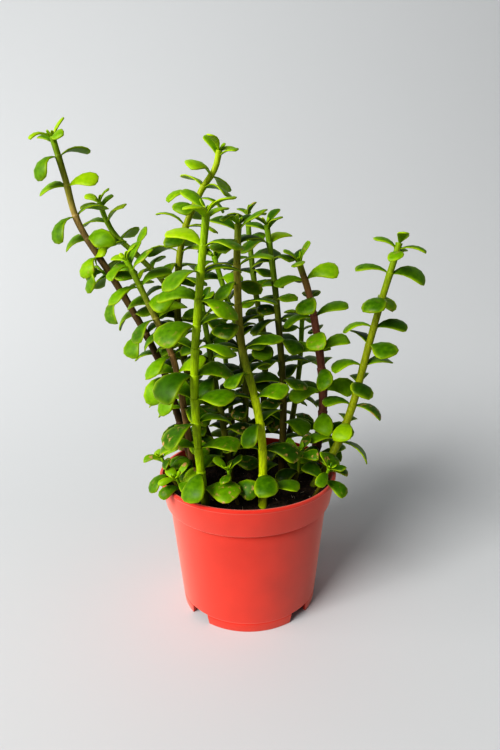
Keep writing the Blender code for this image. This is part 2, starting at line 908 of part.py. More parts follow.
def pair_of_leaves(place, axis, radius, turn, stem, below_tip, draw):
    """Two opposite leaves at a node: young ones stand up, old ones arch out and down."""
    youth = max(0.0, 1.0 - below_tip / FULL_LEAF_BELOW_TIP)
    across = Vector((1, 0, 0)) - axis * axis.x
    across.normalize()
    leaves = []
    for half in (0, 180):
        angle = math.radians(turn + half + draw.uniform(-ANY_TURN, ANY_TURN))
        outward = Matrix.Rotation(angle, 3, axis) @ across
        grown = stem["leaf"] * (TIP_LEAF_SHARE + (1 - TIP_LEAF_SHARE) * (1 - youth))
        root = place + outward * ROOT_SUNK_TO * radius
        leaves.append(make_leaf(root, axis, outward, grown, stem, youth, draw))
    return leaves


def shoot_trace(parent, length):
    """A side shoot's curve: out along a leaf's direction, then up along the stem's."""
    out, up = parent["outward"], parent["axis"]
    start = parent["root"]
    middle = start + (SHOOT_LOW[0] * out + SHOOT_LOW[1] * up) * length / 2
    end = middle + (SHOOT_HIGH[0] * out + SHOOT_HIGH[1] * up) * length / 2
    return smooth_trace([start, middle, end])


def plan_stem(name, stem, collection):
    """The stem's tubes, all laid before any leaf, and where its leaves will stand."""
    draw = random.Random(stem["seed"])
    first = foot_of(stem)
    trace = smooth_trace([first, *(Vector(place) for place in stem["route"])])
    lengths = lengths_along(trace)
    nodes = pair_nodes(stem, trace, lengths)
    girth = stem["girth"]
    rings = [distance for distance, _ in nodes[: -len(TIP_GAPS)]]
    tubes = [stem_tube(name, trace, lengths, rings, girth, collection)]
    leaves = []
    for index, (distance, turn) in enumerate(nodes):
        place, axis = point_along(trace, lengths, distance)
        radius = 0.5 * (girth[0] + (girth[1] - girth[0]) * distance / lengths[-1])
        below_tip = lengths[-1] - distance
        pair = pair_of_leaves(place, axis, radius, turn, stem, below_tip, draw)
        leaves.extend(pair)
        for shoot_index, side, length in stem["shoots"]:
            if shoot_index == index:
                tube, more = plan_shoot(name, pair[side], length, stem, draw, collection)
                tubes.append(tube)
                leaves.extend(more)
    return tubes, leaves


def plan_shoot(name, parent, length, stem, draw, collection):
    """A thin side shoot out of a leaf's corner, with two pairs of leaves."""
    trace = shoot_trace(parent, length)
    lengths = lengths_along(trace)
    nodes = [lengths[-1] * share for share in SHOOT_PAIRS]
    tube = stem_tube(name + ".shoot", trace, lengths, nodes[:1], SHOOT_GIRTH, collection)
    radius = 0.5 * SHOOT_GIRTH[1]
    leaves = []
    for index, distance in enumerate(nodes):
        place, axis = point_along(trace, lengths, distance)
        turn = SHOOT_TURN + 90 * index + draw.uniform(-ANY_TURN, ANY_TURN)
        leaves.extend(pair_of_leaves(place, axis, radius, turn, stem, SHOOT_AGES[index], draw))
    return tube, leaves


def grow_stem(name, tubes, leaves, neighbours, parts):
    """Fuses a stem, its shoots and the leaves that found room into one body."""
    pieces = new_collection(name + " pieces")
    for tube in tubes[1:]:
        for collection in list(tube.users_collection):
            collection.objects.unlink(tube)
        pieces.objects.link(tube)
    for leaf in leaves:
        settled = settle(leaf, neighbours, {name})
        if settled:
            blade = mesh_object("leaf", *blade_mesh(settled), pieces)
            turn_outwards(blade)
    body = tubes[0]
    union = body.modifiers.new("grown together", "BOOLEAN")
    union.operation = "UNION"
    union.operand_type = "COLLECTION"
    union.solver = "MANIFOLD"
    union.collection = pieces
    made = to_mesh(body)
    made.name = name
    remove_collection(pieces)
    keep_main_body(made)
    return made


def keep_main_body(obj):
    """Fills the hollows that the fusing sealed, and drops what it left loose."""
    shape = bmesh.new()
    shape.from_mesh(obj.data)
    unseen = set(shape.verts)
    bodies = []
    while unseen:
        body = []
        front = [unseen.pop()]
        while front:
            vertex = front.pop()
            body.append(vertex)
            for edge in vertex.link_edges:
                other = edge.other_vert(vertex)
                if other in unseen:
                    unseen.remove(other)
                    front.append(other)
        bodies.append(body)
    bodies.sort(key=len)
    for body in bodies[:-1]:
        bmesh.ops.delete(shape, geom=body, context="VERTS")
    shape.to_mesh(obj.data)
    shape.free()


def turn_outwards(obj):
    shape = bmesh.new()
    shape.from_mesh(obj.data)
    bmesh.ops.recalc_face_normals(shape, faces=shape.faces)
    shape.to_mesh(obj.data)
    shape.free()


def make_plant(parts, pot, soil):
    neighbours = Neighbours()
    neighbours.add_object(pot, "pot")
    neighbours.add_object(soil, "soil")
    plans = {name: plan_stem(name, stem, parts) for name, stem in STEMS.items()}
    for name, (tubes, _) in plans.items():
        for tube in tubes:
            neighbours.add_object(tube, name)
    return [grow_stem(name, *plan, neighbours, parts) for name, plan in plans.items()]


def finish(obj, look, sharp):
    obj.data.materials.clear()
    obj.data.materials.append(look)
    obj.data.shade_smooth()
    obj.data.set_sharp_from_angle(angle=math.radians(sharp))


def centre_on_footprint(parts):
    """Moves the whole object so that the middle of its footprint is at the origin."""
    places = [obj.matrix_world @ v.co for obj in parts.objects for v in obj.data.vertices]
    middle = [(min(p[i] for p in places) + max(p[i] for p in places)) / 2 for i in (0, 1)]
    shift = Matrix.Translation((-middle[0], -middle[1], 0.0))
    for obj in parts.objects:
        obj.data.transform(shift @ obj.matrix_world)
        obj.matrix_world = Matrix.Identity(4)


def main():
    clear_scene()
    parts = new_collection("potted elephant bush")
    pot = make_pot(parts)
    soil = make_soil(parts)
    stems = make_plant(parts, pot, soil)
    finish(pot, material("coral plastic", POT_COLOUR, 0.45), 30)
    finish(soil, material("peat", SOIL_COLOUR, 0.95), 60)
    for stem in stems:
        finish(stem, material(stem.name + " green", PLANT_COLOUR, 0.4), 40)
    centre_on_footprint(parts)


main()
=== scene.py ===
# Potted elephant bush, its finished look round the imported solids.
# Metres, +Z up. The plant's front faces -Y, and daylight comes from its upper left.
import math
import random
from functools import partial
from itertools import accumulate

import bmesh
import bpy
from mathutils import Matrix, Vector, noise
from mathutils.bvhtree import BVHTree


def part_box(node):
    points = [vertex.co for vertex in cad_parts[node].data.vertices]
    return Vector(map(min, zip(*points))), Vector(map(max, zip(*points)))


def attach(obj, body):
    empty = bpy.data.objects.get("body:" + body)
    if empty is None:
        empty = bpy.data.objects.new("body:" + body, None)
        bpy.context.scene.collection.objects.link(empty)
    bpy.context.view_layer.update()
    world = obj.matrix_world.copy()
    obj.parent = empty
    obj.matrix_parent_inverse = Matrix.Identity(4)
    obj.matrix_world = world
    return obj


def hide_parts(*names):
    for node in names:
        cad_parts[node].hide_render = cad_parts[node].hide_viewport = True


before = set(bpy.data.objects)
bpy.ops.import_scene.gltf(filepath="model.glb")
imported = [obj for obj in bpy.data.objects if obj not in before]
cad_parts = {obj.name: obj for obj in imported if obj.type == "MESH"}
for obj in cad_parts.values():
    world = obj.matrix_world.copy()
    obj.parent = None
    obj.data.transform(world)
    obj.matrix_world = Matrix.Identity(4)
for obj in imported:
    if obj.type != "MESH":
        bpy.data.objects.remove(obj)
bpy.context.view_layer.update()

scene = bpy.context.scene
scene.view_settings.view_transform = "Standard"
scene.view_settings.look = "High Contrast"  # the photograph's deep shadows and strong colours
mm = 0.001
weldReach = 1e-6  # points closer than this become one
noiseSpan = {"From Min": 0.3, "From Max": 0.7}  # where most of a noise pattern lies

potLow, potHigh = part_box("pot")
# the plant is laid out round the pot's axis
potAxis = Vector(((potLow[0] + potHigh[0]) / 2, (potLow[1] + potHigh[1]) / 2, 0.0))
print("frame loaded, pot axis at", [round(value, 4) for value in potAxis])


# Shared helpers


def linear(hexColour):  # an sRGB hex colour as the linear colour that shaders use
    parts = [int(hexColour[i : i + 2], 16) / 255 for i in (1, 3, 5)]
    return (*(p / 12.92 if p <= 0.04045 else ((p + 0.055) / 1.055) ** 2.4 for p in parts), 1.0)


def addNode(tree, kind, inputs=None, **settings):  # one node with its settings, values and links
    node = tree.nodes.new(kind if "Node" in kind else "ShaderNode" + kind)
    for name, value in settings.items():
        setattr(node, name, value)
    for key, value in (inputs or {}).items():
        if isinstance(value, bpy.types.Node):
            value = next(output for output in value.outputs if output.enabled)
        if isinstance(value, bpy.types.NodeSocket):
            tree.links.new(value, node.inputs[key])
        else:
            node.inputs[key].default_value = value
    return node


def newMaterial(name, patterns):  # empty but for its noise patterns: (size, detail, stretch if any)
    made = bpy.data.materials.new(name)
    made.use_nodes = True
    made.node_tree.nodes.clear()
    add, drawn = partial(addNode, made.node_tree), {}
    for label, (size, detail, *stretch) in patterns.items():
        place = add("TexCoord").outputs["Object"]
        if stretch:
            place = add("Mapping", {"Vector": place, "Scale": stretch[0]})
        drawn[label] = add("TexNoise", {"Vector": place, "Scale": 1 / size, "Detail": detail})
    return made, add, drawn


def endMaterial(made, inputs):
    shader = addNode(made.node_tree, "BsdfPrincipled", inputs)
    addNode(made.node_tree, "OutputMaterial", {"Surface": shader})
    return made


def shadedMaterial(name, look):  # shades and wear over its first pattern, relief from its second
    made, add, drawn = newMaterial(name, look["patterns"])
    first, *others = drawn.values()
    inputs = {"Base Color": add("ValToRGB", {"Fac": first}), **look["shader"]}
    setRamp(inputs["Base Color"], look["shades"])
    if "wear" in look:
        inputs["Roughness"] = add("MapRange", {"Value": first, **noiseSpan, **look["wear"]})
    if others:
        inputs["Normal"] = add("Bump", {"Height": others[0], **look["bump"]})
    return endMaterial(made, inputs)


def setRamp(ramp, stops):  # colour stops of a ramp, from (place, hex) pairs
    elements = ramp.color_ramp.elements
    while len(elements) < len(stops):
        elements.new(0.5)
    for element, (place, hexColour) in zip(elements, stops):
        element.position = place
        element.color = linear(hexColour)


def newTree(name, sizes):  # a Geometry Nodes tree with an input for each size
    tree = bpy.data.node_groups.new(name, "GeometryNodeTree")
    tree.interface.new_socket("Geometry", in_out="INPUT", socket_type="NodeSocketGeometry")
    for label, value in sizes.items():
        kind = "NodeSocketInt" if isinstance(value, int) else "NodeSocketFloat"
        tree.interface.new_socket(label, in_out="INPUT", socket_type=kind).default_value = value
    tree.interface.new_socket("Geometry", in_out="OUTPUT", socket_type="NodeSocketGeometry")
    add = partial(addNode, tree)
    return tree, add, add("NodeGroupInput").outputs


def endTree(tree, geometry, material):
    finished = addNode(tree, "GeometryNodeSetMaterial", {"Geometry": geometry, "Material": material})
    addNode(tree, "NodeGroupOutput", {"Geometry": finished})
    return tree


def runTree(obj, tree, sizes):  # runs a tree on an object and keeps its result as a plain mesh
    modifier = obj.modifiers.new(tree.name, "NODES")
    modifier.node_group = tree
    for item in tree.interface.items_tree:
        if item.in_out == "INPUT" and item.name in sizes:
            modifier[item.identifier] = sizes[item.name]
    bakeModifiers(obj)
    finish = [material for material in obj.data.materials if material][-1]
    obj.data.materials.clear()
    obj.data.materials.append(finish)


def bakeModifiers(obj):
    graph = bpy.context.evaluated_depsgraph_get()
    mesh = bpy.data.meshes.new_from_object(obj.evaluated_get(graph))
    obj.modifiers.clear()
    obj.data = mesh


def newObject(name, vertices, edges=(), faces=()):
    mesh = bpy.data.meshes.new(name)
    mesh.from_pydata(vertices, list(edges), list(faces))
    obj = bpy.data.objects.new(name, mesh)
    scene.collection.objects.link(obj)
    return obj


def cleanMesh(mesh, turnOut=True):  # merges doubles and turns the faces outwards
    shape = bmesh.new()
    shape.from_mesh(mesh)
    bmesh.ops.remove_doubles(shape, verts=shape.verts, dist=weldReach)
    if turnOut:
        bmesh.ops.recalc_face_normals(shape, faces=shape.faces)
    shape.to_mesh(mesh)
    shape.free()


def giveAttribute(mesh, name, kind, values):  # one value for each point
    field = "color" if "COLOR" in kind else "value" if kind in ("FLOAT", "QUATERNION") else "vector"
    layer = mesh.attributes.new(name, kind, "POINT")
    flat = [part for value in values for part in (value if hasattr(value, "__len__") else (value,))]
    layer.data.foreach_set(field, flat)


def dropAttributes(mesh, kept):  # leaves only what the materials read
    for name in [layer.name for layer in mesh.attributes]:
        layer = mesh.attributes[name]
        if name not in kept and not layer.is_required and not layer.is_internal and name != "sharp_face":
            mesh.attributes.remove(layer)


def pieceName(node, part):  # such as leaves_far_left or stem_low_right
    return node.replace("leafy_stem", part).replace("low_shoot", part + "_low")


def handOver(piece, slot, *nodes):  # a finished piece joins the plant's one body
    piece.data.transform(Matrix.Translation(potAxis))
    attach(piece, "root")
    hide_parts(*nodes)


# Camera: the photograph's view, from in front and above


cameraPlace = {
    "behind": 345 * mm,
    "height": 250.2 * mm,
    "pitch": 14.6,
    "roll": -0.57,
    "yaw": -0.35,
    "lens": 26.0,
    "sensor": 36.0,
    "nearest": 10 * mm,
}


def makeCamera(place):
    data = bpy.data.cameras.new("camera")
    data.lens = place["lens"]
    data.sensor_width = place["sensor"]
    data.clip_start = place["nearest"]
    camera = bpy.data.objects.new("camera", data)
    scene.collection.objects.link(camera)
    turn = Matrix.Rotation(math.radians(place["yaw"]), 4, "Z")
    tilt = Matrix.Rotation(math.radians(90 - place["pitch"]), 4, "X")
    roll = Matrix.Rotation(math.radians(place["roll"]), 4, "Z")
    stand = Vector((0, -place["behind"], place["height"])) + potAxis
    camera.matrix_world = Matrix.Translation(stand) @ turn @ tilt @ roll
    scene.camera = camera


makeCamera(cameraPlace)
print("camera placed")


# The stems as they grow, the same as in the solids, in millimetres and degrees. route: from the soil to
# the tip. pairs: height of each pair of leaves and its turn from left-right. girth: thickness at the foot
# and the tip. leaf: length of a grown one. facing: how far the leaves roll to the light. hang: how far
# they sink towards it. shoots: (index of the pair, which leaf of it, length)


stemPlans = {
    "leafy_stem_far_left": {
        "route": (
            (-38, 13, 88), (-46, 15, 117), (-56, 18, 155), (-69, 18, 187), (-87, 17, 222),
            (-106, 15, 257), (-112, 14, 285), (-117.5, 14, 309),
        ),
        "pairs": (
            (94, 20), (106, -50), (121, 40), (138, -45), (155, 45), (170, -40), (184, 40), (197, -45),
            (210, 40), (223, -40), (235, 45), (247, -35), (261, 40), (279, -15), (296, 40),
        ),
        "girth": (5.8, 4), "leaf": 23.5, "facing": 0.5, "seed": 3,
        "hang": 2.2, "shoots": ((9, 1, 14),),
    },
    "leafy_stem_back_left": {
        "route": (
            (-29, 36, 88), (-40, 41, 130), (-48, 43, 180), (-55, 40, 213), (-70, 38, 232),
            (-88, 40, 249), (-94.5, 40, 260), (-98.5, 40, 272),
        ),
        "pairs": (
            (100, -10), (112, 80), (128, -15), (145, 70), (160, -20), (174, 75), (188, -15), (201, 70),
            (214, -20), (226, 65), (236, -30), (246, 60), (258, -30),
        ),
        "girth": (4.8, 3.6), "leaf": 21.6, "facing": 0.35, "seed": 11,
    },
    "leafy_stem_left": {
        "route": (
            (-36, -2, 88), (-40, 0, 118), (-45, 0, 158), (-51, -1, 182), (-64, -3, 214), (-73, -4, 235),
        ),
        "pairs": (
            (100, 30), (112, -50), (125, 40), (137, -40), (149, 45), (161, -35), (173, 45), (185, -40),
            (197, 40), (207, -45), (218, 30), (228, -40),
        ),
        "girth": (5.2, 3.8), "leaf": 23.5, "facing": 0.4, "seed": 5,
        "hang": 1.4,
    },
    "leafy_stem_tall_back": {
        "route": (
            (-20, 22, 88), (-36, 26, 130), (-46, 28, 180), (-47, 31, 215), (-42, 35, 250),
            (-30, 38, 277), (-20, 40, 292), (-16.5, 40, 304),
        ),
        "pairs": (
            (100, -20), (115, 60), (131, -30), (148, 60), (164, -35), (179, 60), (193, -25), (206, 60),
            (217, -35), (227, 60), (237, -20), (246, 75), (255, -10), (264, 80), (272.5, 5),
            (279.5, -40), (287, 50),
        ),
        "girth": (6.2, 4.2), "leaf": 23.5, "facing": 0.25, "seed": 8,
    },
    "leafy_stem_front_left": {
        "route": ((-27, -36, 88), (-30, -38, 125), (-30.5, -41, 170), (-26, -43, 218), (-20.5, -44, 262)),
        "pairs": (
            (96, -20), (107, 75), (123, -15), (140, 50), (155, -30), (170, 40), (185, -35), (199, 35),
            (214, -30), (229, 45), (243, -25),
        ),
        "girth": (6, 4.4), "leaf": 27.3, "facing": 0.22, "seed": 21,
        "hang": 1.3,
    },
    "leafy_stem_front": {
        "route": (
            (9, -38, 88), (9, -35, 125), (5, -32, 153), (-3, -27, 187), (-5, -22, 229), (-4, -18, 256),
        ),
        "pairs": (
            (95, -20), (104, 85), (121, -5), (137, 70), (152, -20), (167, 60), (182, -20), (195, 70),
            (208, -10), (220, 65), (231, -15), (243, 60),
        ),
        "girth": (6, 4.2), "leaf": 24.8, "facing": 0.35, "seed": 13,
    },
    "leafy_stem_back": {
        "route": ((8, 30, 88), (12, 32, 130), (13, 33, 174), (7, 37, 210), (3, 43, 245), (2, 46, 263)),
        "pairs": (
            (106, 20), (120, -60), (133, 15), (146, -70), (159, 10), (172, -75), (185, 10), (198, -70),
            (211, 15), (222, -65), (233, 10), (245, -65),
        ),
        "girth": (5.2, 3.8), "leaf": 22.2, "facing": 0.3, "seed": 17,
    },
    "leafy_stem_middle": {
        "route": ((24, 8, 88), (25, 12, 139), (23, 16, 177), (19, 19, 220), (14, 20, 256)),
        "pairs": (
            (96, -45), (108, 45), (122, -45), (136, 40), (150, -50), (164, 35), (178, -60), (192, 20),
            (206, -65), (219, 25), (231, -55), (243, 40),
        ),
        "girth": (5.6, 4), "leaf": 22.2, "facing": 0.3, "seed": 29,
    },
    "leafy_stem_mid_right": {
        "route": ((45, 13, 88), (52, 11, 125), (50, 9, 165), (42, 8, 208), (34, 8, 233)),
        "pairs": (
            (94, -10), (104, 75), (116, -10), (129, 80), (145, 5), (160, 85), (172, -5), (184, 80),
            (196, 0), (208, 75), (220, -10),
        ),
        "girth": (7.6, 4.2), "leaf": 22.9, "facing": 0.7, "seed": 31,
    },
    "leafy_stem_far_right": {
        "route": (
            (46, -10, 88), (60, -6, 113), (70, -3, 140), (77.5, 0, 170), (85, 1, 202), (92.5, 0, 232),
            (95.5, 0, 244),
        ),
        "pairs": (
            (94, -10), (104, 70), (114, 0), (126, 75), (139, 5), (152, 80), (165, 15), (178, -75),
            (190, -5), (208, 70), (224, -5), (236, 70),
        ),
        "girth": (6.2, 4.2), "leaf": 22.9, "facing": 0.35, "seed": 37,
    },
    "leafy_stem_back_middle": {
        "route": ((-4, 18, 88), (-1, 20, 140), (-6, 22, 185), (-13, 24, 208), (-21, 25, 236)),
        "pairs": (
            (106, 60), (119, -25), (132, 65), (145, -30), (158, 60), (171, -35), (184, 55), (197, -40),
            (209, 45), (220, -45),
        ),
        "girth": (5, 3.6), "leaf": 21.6, "facing": 0.45, "seed": 41,
    },
    "leafy_stem_inner": {
        "route": ((-12, 2, 88), (-16, 6, 120), (-21, 10, 150), (-27, 12, 190), (-29, 10, 206)),
        "pairs": (
            (96, -20), (107, 50), (119, -45), (131, 40), (143, -50), (155, 35), (167, -45), (179, 40),
            (192, -40),
        ),
        "girth": (5.4, 3.6), "leaf": 22.9, "facing": 0.5, "seed": 43,
    },
    "leafy_stem_back_right": {
        "route": ((28, 34, 88), (35, 44, 120), (40, 52, 155), (42, 58, 190)),
        "pairs": ((105, 30), (117, -55), (129, 35), (141, -50), (153, 40), (166, -45), (179, 40)),
        "girth": (4.8, 3.6), "leaf": 22.9, "facing": 0.3, "seed": 47,
    },
    "leafy_stem_rear": {
        "route": ((-10, 46, 88), (-13, 58, 120), (-16, 66, 150), (-18, 71, 182)),
        "pairs": ((109, 60), (126, -20), (142, 65), (157, -25), (171, 60)),
        "girth": (4.8, 3.6), "leaf": 22.9, "facing": 0.3, "seed": 53,
    },
    "low_shoot_left": {
        "route": ((-47, -14, 88), (-52, -16, 98), (-56, -17, 110)),
        "pairs": ((97, 20),),
        "girth": (3, 2), "leaf": 19.1, "facing": 0.6, "seed": 59,
    },
    "low_shoot_front_left": {
        "route": ((-39, -29, 88), (-42, -33, 96), (-44, -36, 104)),
        "pairs": ((95.5, 35),),
        "girth": (2.8, 2), "leaf": 19.1, "facing": 0.6, "seed": 61,
    },
    "low_shoot_front": {
        "route": ((-7, -36, 88), (-10, -38, 98), (-12, -38, 110)),
        "pairs": ((97, -10),),
        "girth": (2.8, 2), "leaf": 19.1, "facing": 0.5, "seed": 67,
    },
    "low_shoot_front_right": {
        "route": ((30, -16, 88), (33, -18, 100), (33, -20, 114)),
        "pairs": ((99, 45),),
        "girth": (3, 2), "leaf": 19.7, "facing": 0.6, "seed": 71,
    },
    "low_shoot_right": {
        "route": ((44, -26, 88), (48, -29, 98), (51, -31, 107)),
        "pairs": ((96.5, -35),),
        "girth": (3, 2), "leaf": 19.7, "facing": 0.5, "seed": 73,
    },
}

perMetre = 1000
for plan in stemPlans.values():
    plan["route"] = [Vector([part / perMetre for part in place]) for place in plan["route"]]
    plan["pairs"] = [(height / perMetre, turn) for height, turn in plan["pairs"]]
    plan["girth"] = [thickness / perMetre for thickness in plan["girth"]]
    plan["leaf"] /= perMetre


# Growth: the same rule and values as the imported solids, so each finished leaf stands where its
# solid one does


growth = {
    "rootDepth": 22 * mm,
    "bevelSteps": 1,
    "jointedGirth": 6 * mm,
    "nodeSwell": 1.08,
    "nodeRise": 1.6 * mm,
    "nodeStep": 1.0 * mm,
    "nextLength": 0.93,
    "tipTaper": 0.8,
    "tipGaps": (4.5 * mm, 1.0 * mm),
    "shootGirth": (2.4 * mm, 1.8 * mm),
    "shootPairs": (0.55, 0.96),
    "shootTurn": 35,
    "shootYouth": (22 * mm, 8 * mm),
    "clearance": 0.7 * mm,
    "leafThickness": 1.4 * mm,
    "thickLeaf": 16 * mm,
    "thinnest": 0.7,
    "widthShare": 0.61,
    "fullBelowTip": 14 * mm,
    "tipShare": 0.66,
    "rootSunkTo": 0.35,
    "rise": (40, 62),  # old leaf, young leaf
    "arch": (80, 50),
    "litRise": -8,
    "litArch": 28,
    "lengths": (0.90, 1.08),
    "widths": (0.88, 1.12),
    "youngWidth": 0.72,
    "cups": (-0.08, 0.24),
    "rolls": (25, 85),
    "anyTurn": 10,
    "anyRise": 12,
    "anyArch": 20,
    "anyRoll": 15,
    "light": Vector((-0.38, -0.85, 0.37)),
    "testSections": ((0.0, 0.14, 1.0), (0.42, 0.74, 1.0), (0.82, 0.97, 0.9)),  # along, width, thickness
    "smallSections": ((0.0, 0.14, 1.0), (0.62, 1.0, 1.0)),
    "smallLeaf": 14.5 * mm,
    "testFrom": 0.16,
    "standsFrom": 0.12,
    "ridge": 0.7,  # shares of the thickness above and below a leaf's midline
    "keel": 0.3,
    "shootLean": ((0.75, 0.65), (0.45, 0.9)),  # outwards and upwards, lower and upper half
}

# what a leaf tries until it stands clear: turn round the stem, lift, share of its size
dodges = (
    (0, 0, 1.0), (12, 0, 1.0), (-12, 0, 1.0), (0, 14, 1.0), (22, -6, 1.0),
    (-22, -6, 1.0), (0, -16, 0.95), (32, 8, 0.92), (-32, 8, 0.92), (0, 26, 0.88),
    (44, 0, 0.84), (-44, 0, 0.84), (16, 30, 0.78), (-16, 30, 0.78), (0, 0, 0.68),
    (30, 20, 0.62), (-30, 20, 0.62), (0, 34, 0.55),
)


def smoothTrace(places, step=1 * mm):  # points a millimetre apart on a smooth curve
    ends = [2 * places[0] - places[1], *places, 2 * places[-1] - places[-2]]
    trace = []
    for before, start, end, after in zip(ends, ends[1:], ends[2:], ends[3:]):
        count = max(2, round((end - start).length / step))
        square = 2 * before - 5 * start + 4 * end - after
        cube = 3 * start - before - 3 * end + after
        for i in range(count):
            t = i / count
            trace.append(0.5 * (2 * start + (end - before) * t + square * t * t + cube * t * t * t))
    trace.append(places[-1])
    return trace


def newLine(route, girth):  # a smooth line, the distance to each of its points and its thickness
    trace = smoothTrace(route)
    steps = accumulate((second - first).length for first, second in zip(trace, trace[1:]))
    return {"trace": trace, "lengths": [0.0, *steps], "girth": girth}


def pointAlong(line, distance, reach=3):  # place, and direction over a few points each way
    trace, lengths = line["trace"], line["lengths"]
    index = next((i for i, reached in enumerate(lengths) if reached >= distance), len(trace) - 1)
    index = max(1, index)
    low, high = max(0, index - reach), min(len(trace) - 1, index + reach)
    share = (distance - lengths[index - 1]) / max(lengths[index] - lengths[index - 1], weldReach)
    place = trace[index - 1].lerp(trace[index], min(1.0, max(0.0, share)))
    return place, (trace[high] - trace[low]).normalized()


def girthAt(girth, share):  # radius at a share of the way up
    return 0.5 * (girth[0] + (girth[1] - girth[0]) * share)


def outwardAt(axis, degrees):  # away from a stem's axis, turned from left-right
    across = Vector((1, 0, 0)) - axis * axis.x
    across.normalize()
    return Matrix.Rotation(math.radians(degrees), 3, axis) @ across


def testTube(line):  # the plain tube that leaves are kept clear of
    total, girth = line["lengths"][-1], line["girth"]
    rings = [(0.0, girthAt(girth, 0.0))]
    for distance in line["nodes"]:
        ring = distance + growth["nodeRise"]
        radius = girthAt(girth, ring / total)
        if girth[0] < growth["jointedGirth"]:
            rings.append((ring, radius))
        else:
            above = ring + growth["nodeStep"]
            rings.append((ring, growth["nodeSwell"] * radius))
            rings.append((above, growth["nextLength"] * girthAt(girth, above / total)))
    rings.append((total, growth["tipTaper"] * girthAt(girth, 1.0)))
    curve = bpy.data.curves.new("test tube", "CURVE")
    curve.dimensions = "3D"
    curve.bevel_depth = 1.0
    curve.bevel_resolution = growth["bevelSteps"]
    curve.use_fill_caps = True
    spline = curve.splines.new("POLY")
    spline.points.add(len(rings) - 1)
    for point, (distance, radius) in zip(spline.points, rings):
        point.co = (*pointAlong(line, distance)[0], 1.0)
        point.radius = radius
    obj = bpy.data.objects.new("test tube", curve)
    scene.collection.objects.link(obj)
    mesh = bpy.data.meshes.new_from_object(obj.evaluated_get(bpy.context.evaluated_depsgraph_get()))
    bpy.data.objects.remove(obj, do_unlink=True)
    cleanMesh(mesh, turnOut=False)
    return mesh


def testBlade(leaf, extra=0.0, start=0.0):  # the solid's plain blade, a little larger
    across = leaf["axis"].cross(leaf["outward"])
    rise, arch, roll = leaf["rise"], leaf["arch"], leaf["roll"]
    vertices, faces = [], []
    small = leaf["length"] < growth["smallLeaf"]
    sections = [*growth["smallSections" if small else "testSections"], (1.0, 0.0, 0.0)]
    for share, wide, thick in sections:
        share = max(share, start)
        angle = rise - arch * share
        reach = leaf["length"] / arch * (math.sin(rise) - math.sin(angle))
        climb = leaf["length"] / arch * (math.cos(angle) - math.cos(rise))
        over = leaf["axis"] * math.cos(angle) - leaf["outward"] * math.sin(angle)
        side = across * math.cos(roll) + over * math.sin(roll)
        face = over * math.cos(roll) - across * math.sin(roll)
        middle = leaf["root"] + leaf["outward"] * reach + leaf["axis"] * climb
        halfWidth = 0.5 * leaf["width"] * wide + extra
        depth = leaf["thickness"] * thick
        droop = face * (leaf["cup"] * 0.5 * leaf["width"] * wide + growth["keel"] * depth + extra)
        ridge = middle + face * (growth["ridge"] * depth + extra)
        vertices.extend((middle - side * halfWidth - droop, ridge, middle + side * halfWidth - droop))
    tip = vertices[-2]
    vertices = [*vertices[:-3], tip]
    faces.append((0, 1, 2))
    last = 3 * (len(sections) - 2)
    for i in range(0, last, 3):
        left, ridge, right = i, i + 1, i + 2
        for edge in (left, right):
            faces.append((edge, ridge, ridge + 3))
            faces.append((edge, ridge + 3, edge + 3))
        faces.append((left, right, right + 3))
        faces.append((left, right + 3, left + 3))
    for i in range(3):
        faces.append((last + i, last + (i + 1) % 3, len(vertices) - 1))
    return vertices, faces


def makeLeaf(root, axis, outward, size, plan, youth, draw):
    length = size * draw.uniform(*growth["lengths"])
    slim = 1.0 - (1.0 - growth["youngWidth"]) * youth
    rise, arch = (old + (young - old) * youth for old, young in (growth["rise"], growth["arch"]))
    turned = -axis.cross(outward).dot(growth["light"]) * plan["facing"]
    lit = max(0.0, outward.dot(growth["light"])) * plan.get("hang", 1.0)
    anyRise, anyArch, anyRoll = growth["anyRise"], growth["anyArch"], growth["anyRoll"]
    plump = max(growth["thinnest"], min(1.0, length / growth["thickLeaf"]))
    return {
        "root": root,
        "axis": axis,
        "outward": outward,
        "length": length,
        "width": length * growth["widthShare"] * draw.uniform(*growth["widths"]) * slim,
        "thickness": growth["leafThickness"] * plump,
        "rise": math.radians(rise + growth["litRise"] * lit + draw.uniform(-anyRise, anyRise)),
        "arch": math.radians(arch + growth["litArch"] * lit + draw.uniform(-anyArch, anyArch)),
        "cup": draw.uniform(*growth["cups"]),
        "roll": math.radians(turned * draw.uniform(*growth["rolls"]) + draw.uniform(-anyRoll, anyRoll)),
    }


def ballRound(vertices):
    centre = sum(vertices, Vector()) / len(vertices)
    return centre, max((vertex - centre).length for vertex in vertices)


class Neighbours:  # what a new leaf has to stay clear of
    def __init__(self):
        self.surfaces = []

    def add(self, vertices, faces, owner):
        self.surfaces.append((*ballRound(vertices), BVHTree.FromPolygons(vertices, faces), owner))

    def addMesh(self, mesh, shift, owner):
        mesh.calc_loop_triangles()
        vertices = [vertex.co + shift for vertex in mesh.vertices]
        self.add(vertices, [tuple(triangle.vertices) for triangle in mesh.loop_triangles], owner)

    def meets(self, vertices, faces, skipped):
        centre, radius = ballRound(vertices)
        tree = BVHTree.FromPolygons(vertices, faces)
        for otherCentre, otherRadius, other, owner in self.surfaces:
            near = owner != skipped and (centre - otherCentre).length <= radius + otherRadius
            if near and tree.overlap(other):
                return True
        return False


def settle(leaf, neighbours, owner):  # the leaf, dodging until it stands clear, or None
    for turn, lift, share in dodges:
        tried = dict(leaf)
        tried["outward"] = Matrix.Rotation(math.radians(turn), 3, leaf["axis"]) @ leaf["outward"]
        tried["rise"] = leaf["rise"] + math.radians(lift)
        tried["length"] = leaf["length"] * share
        tried["width"] = leaf["width"] * share
        if not neighbours.meets(*testBlade(tried, growth["clearance"], growth["testFrom"]), owner):
            neighbours.add(*testBlade(tried, start=growth["standsFrom"]), "leaf")
            return tried
    return None


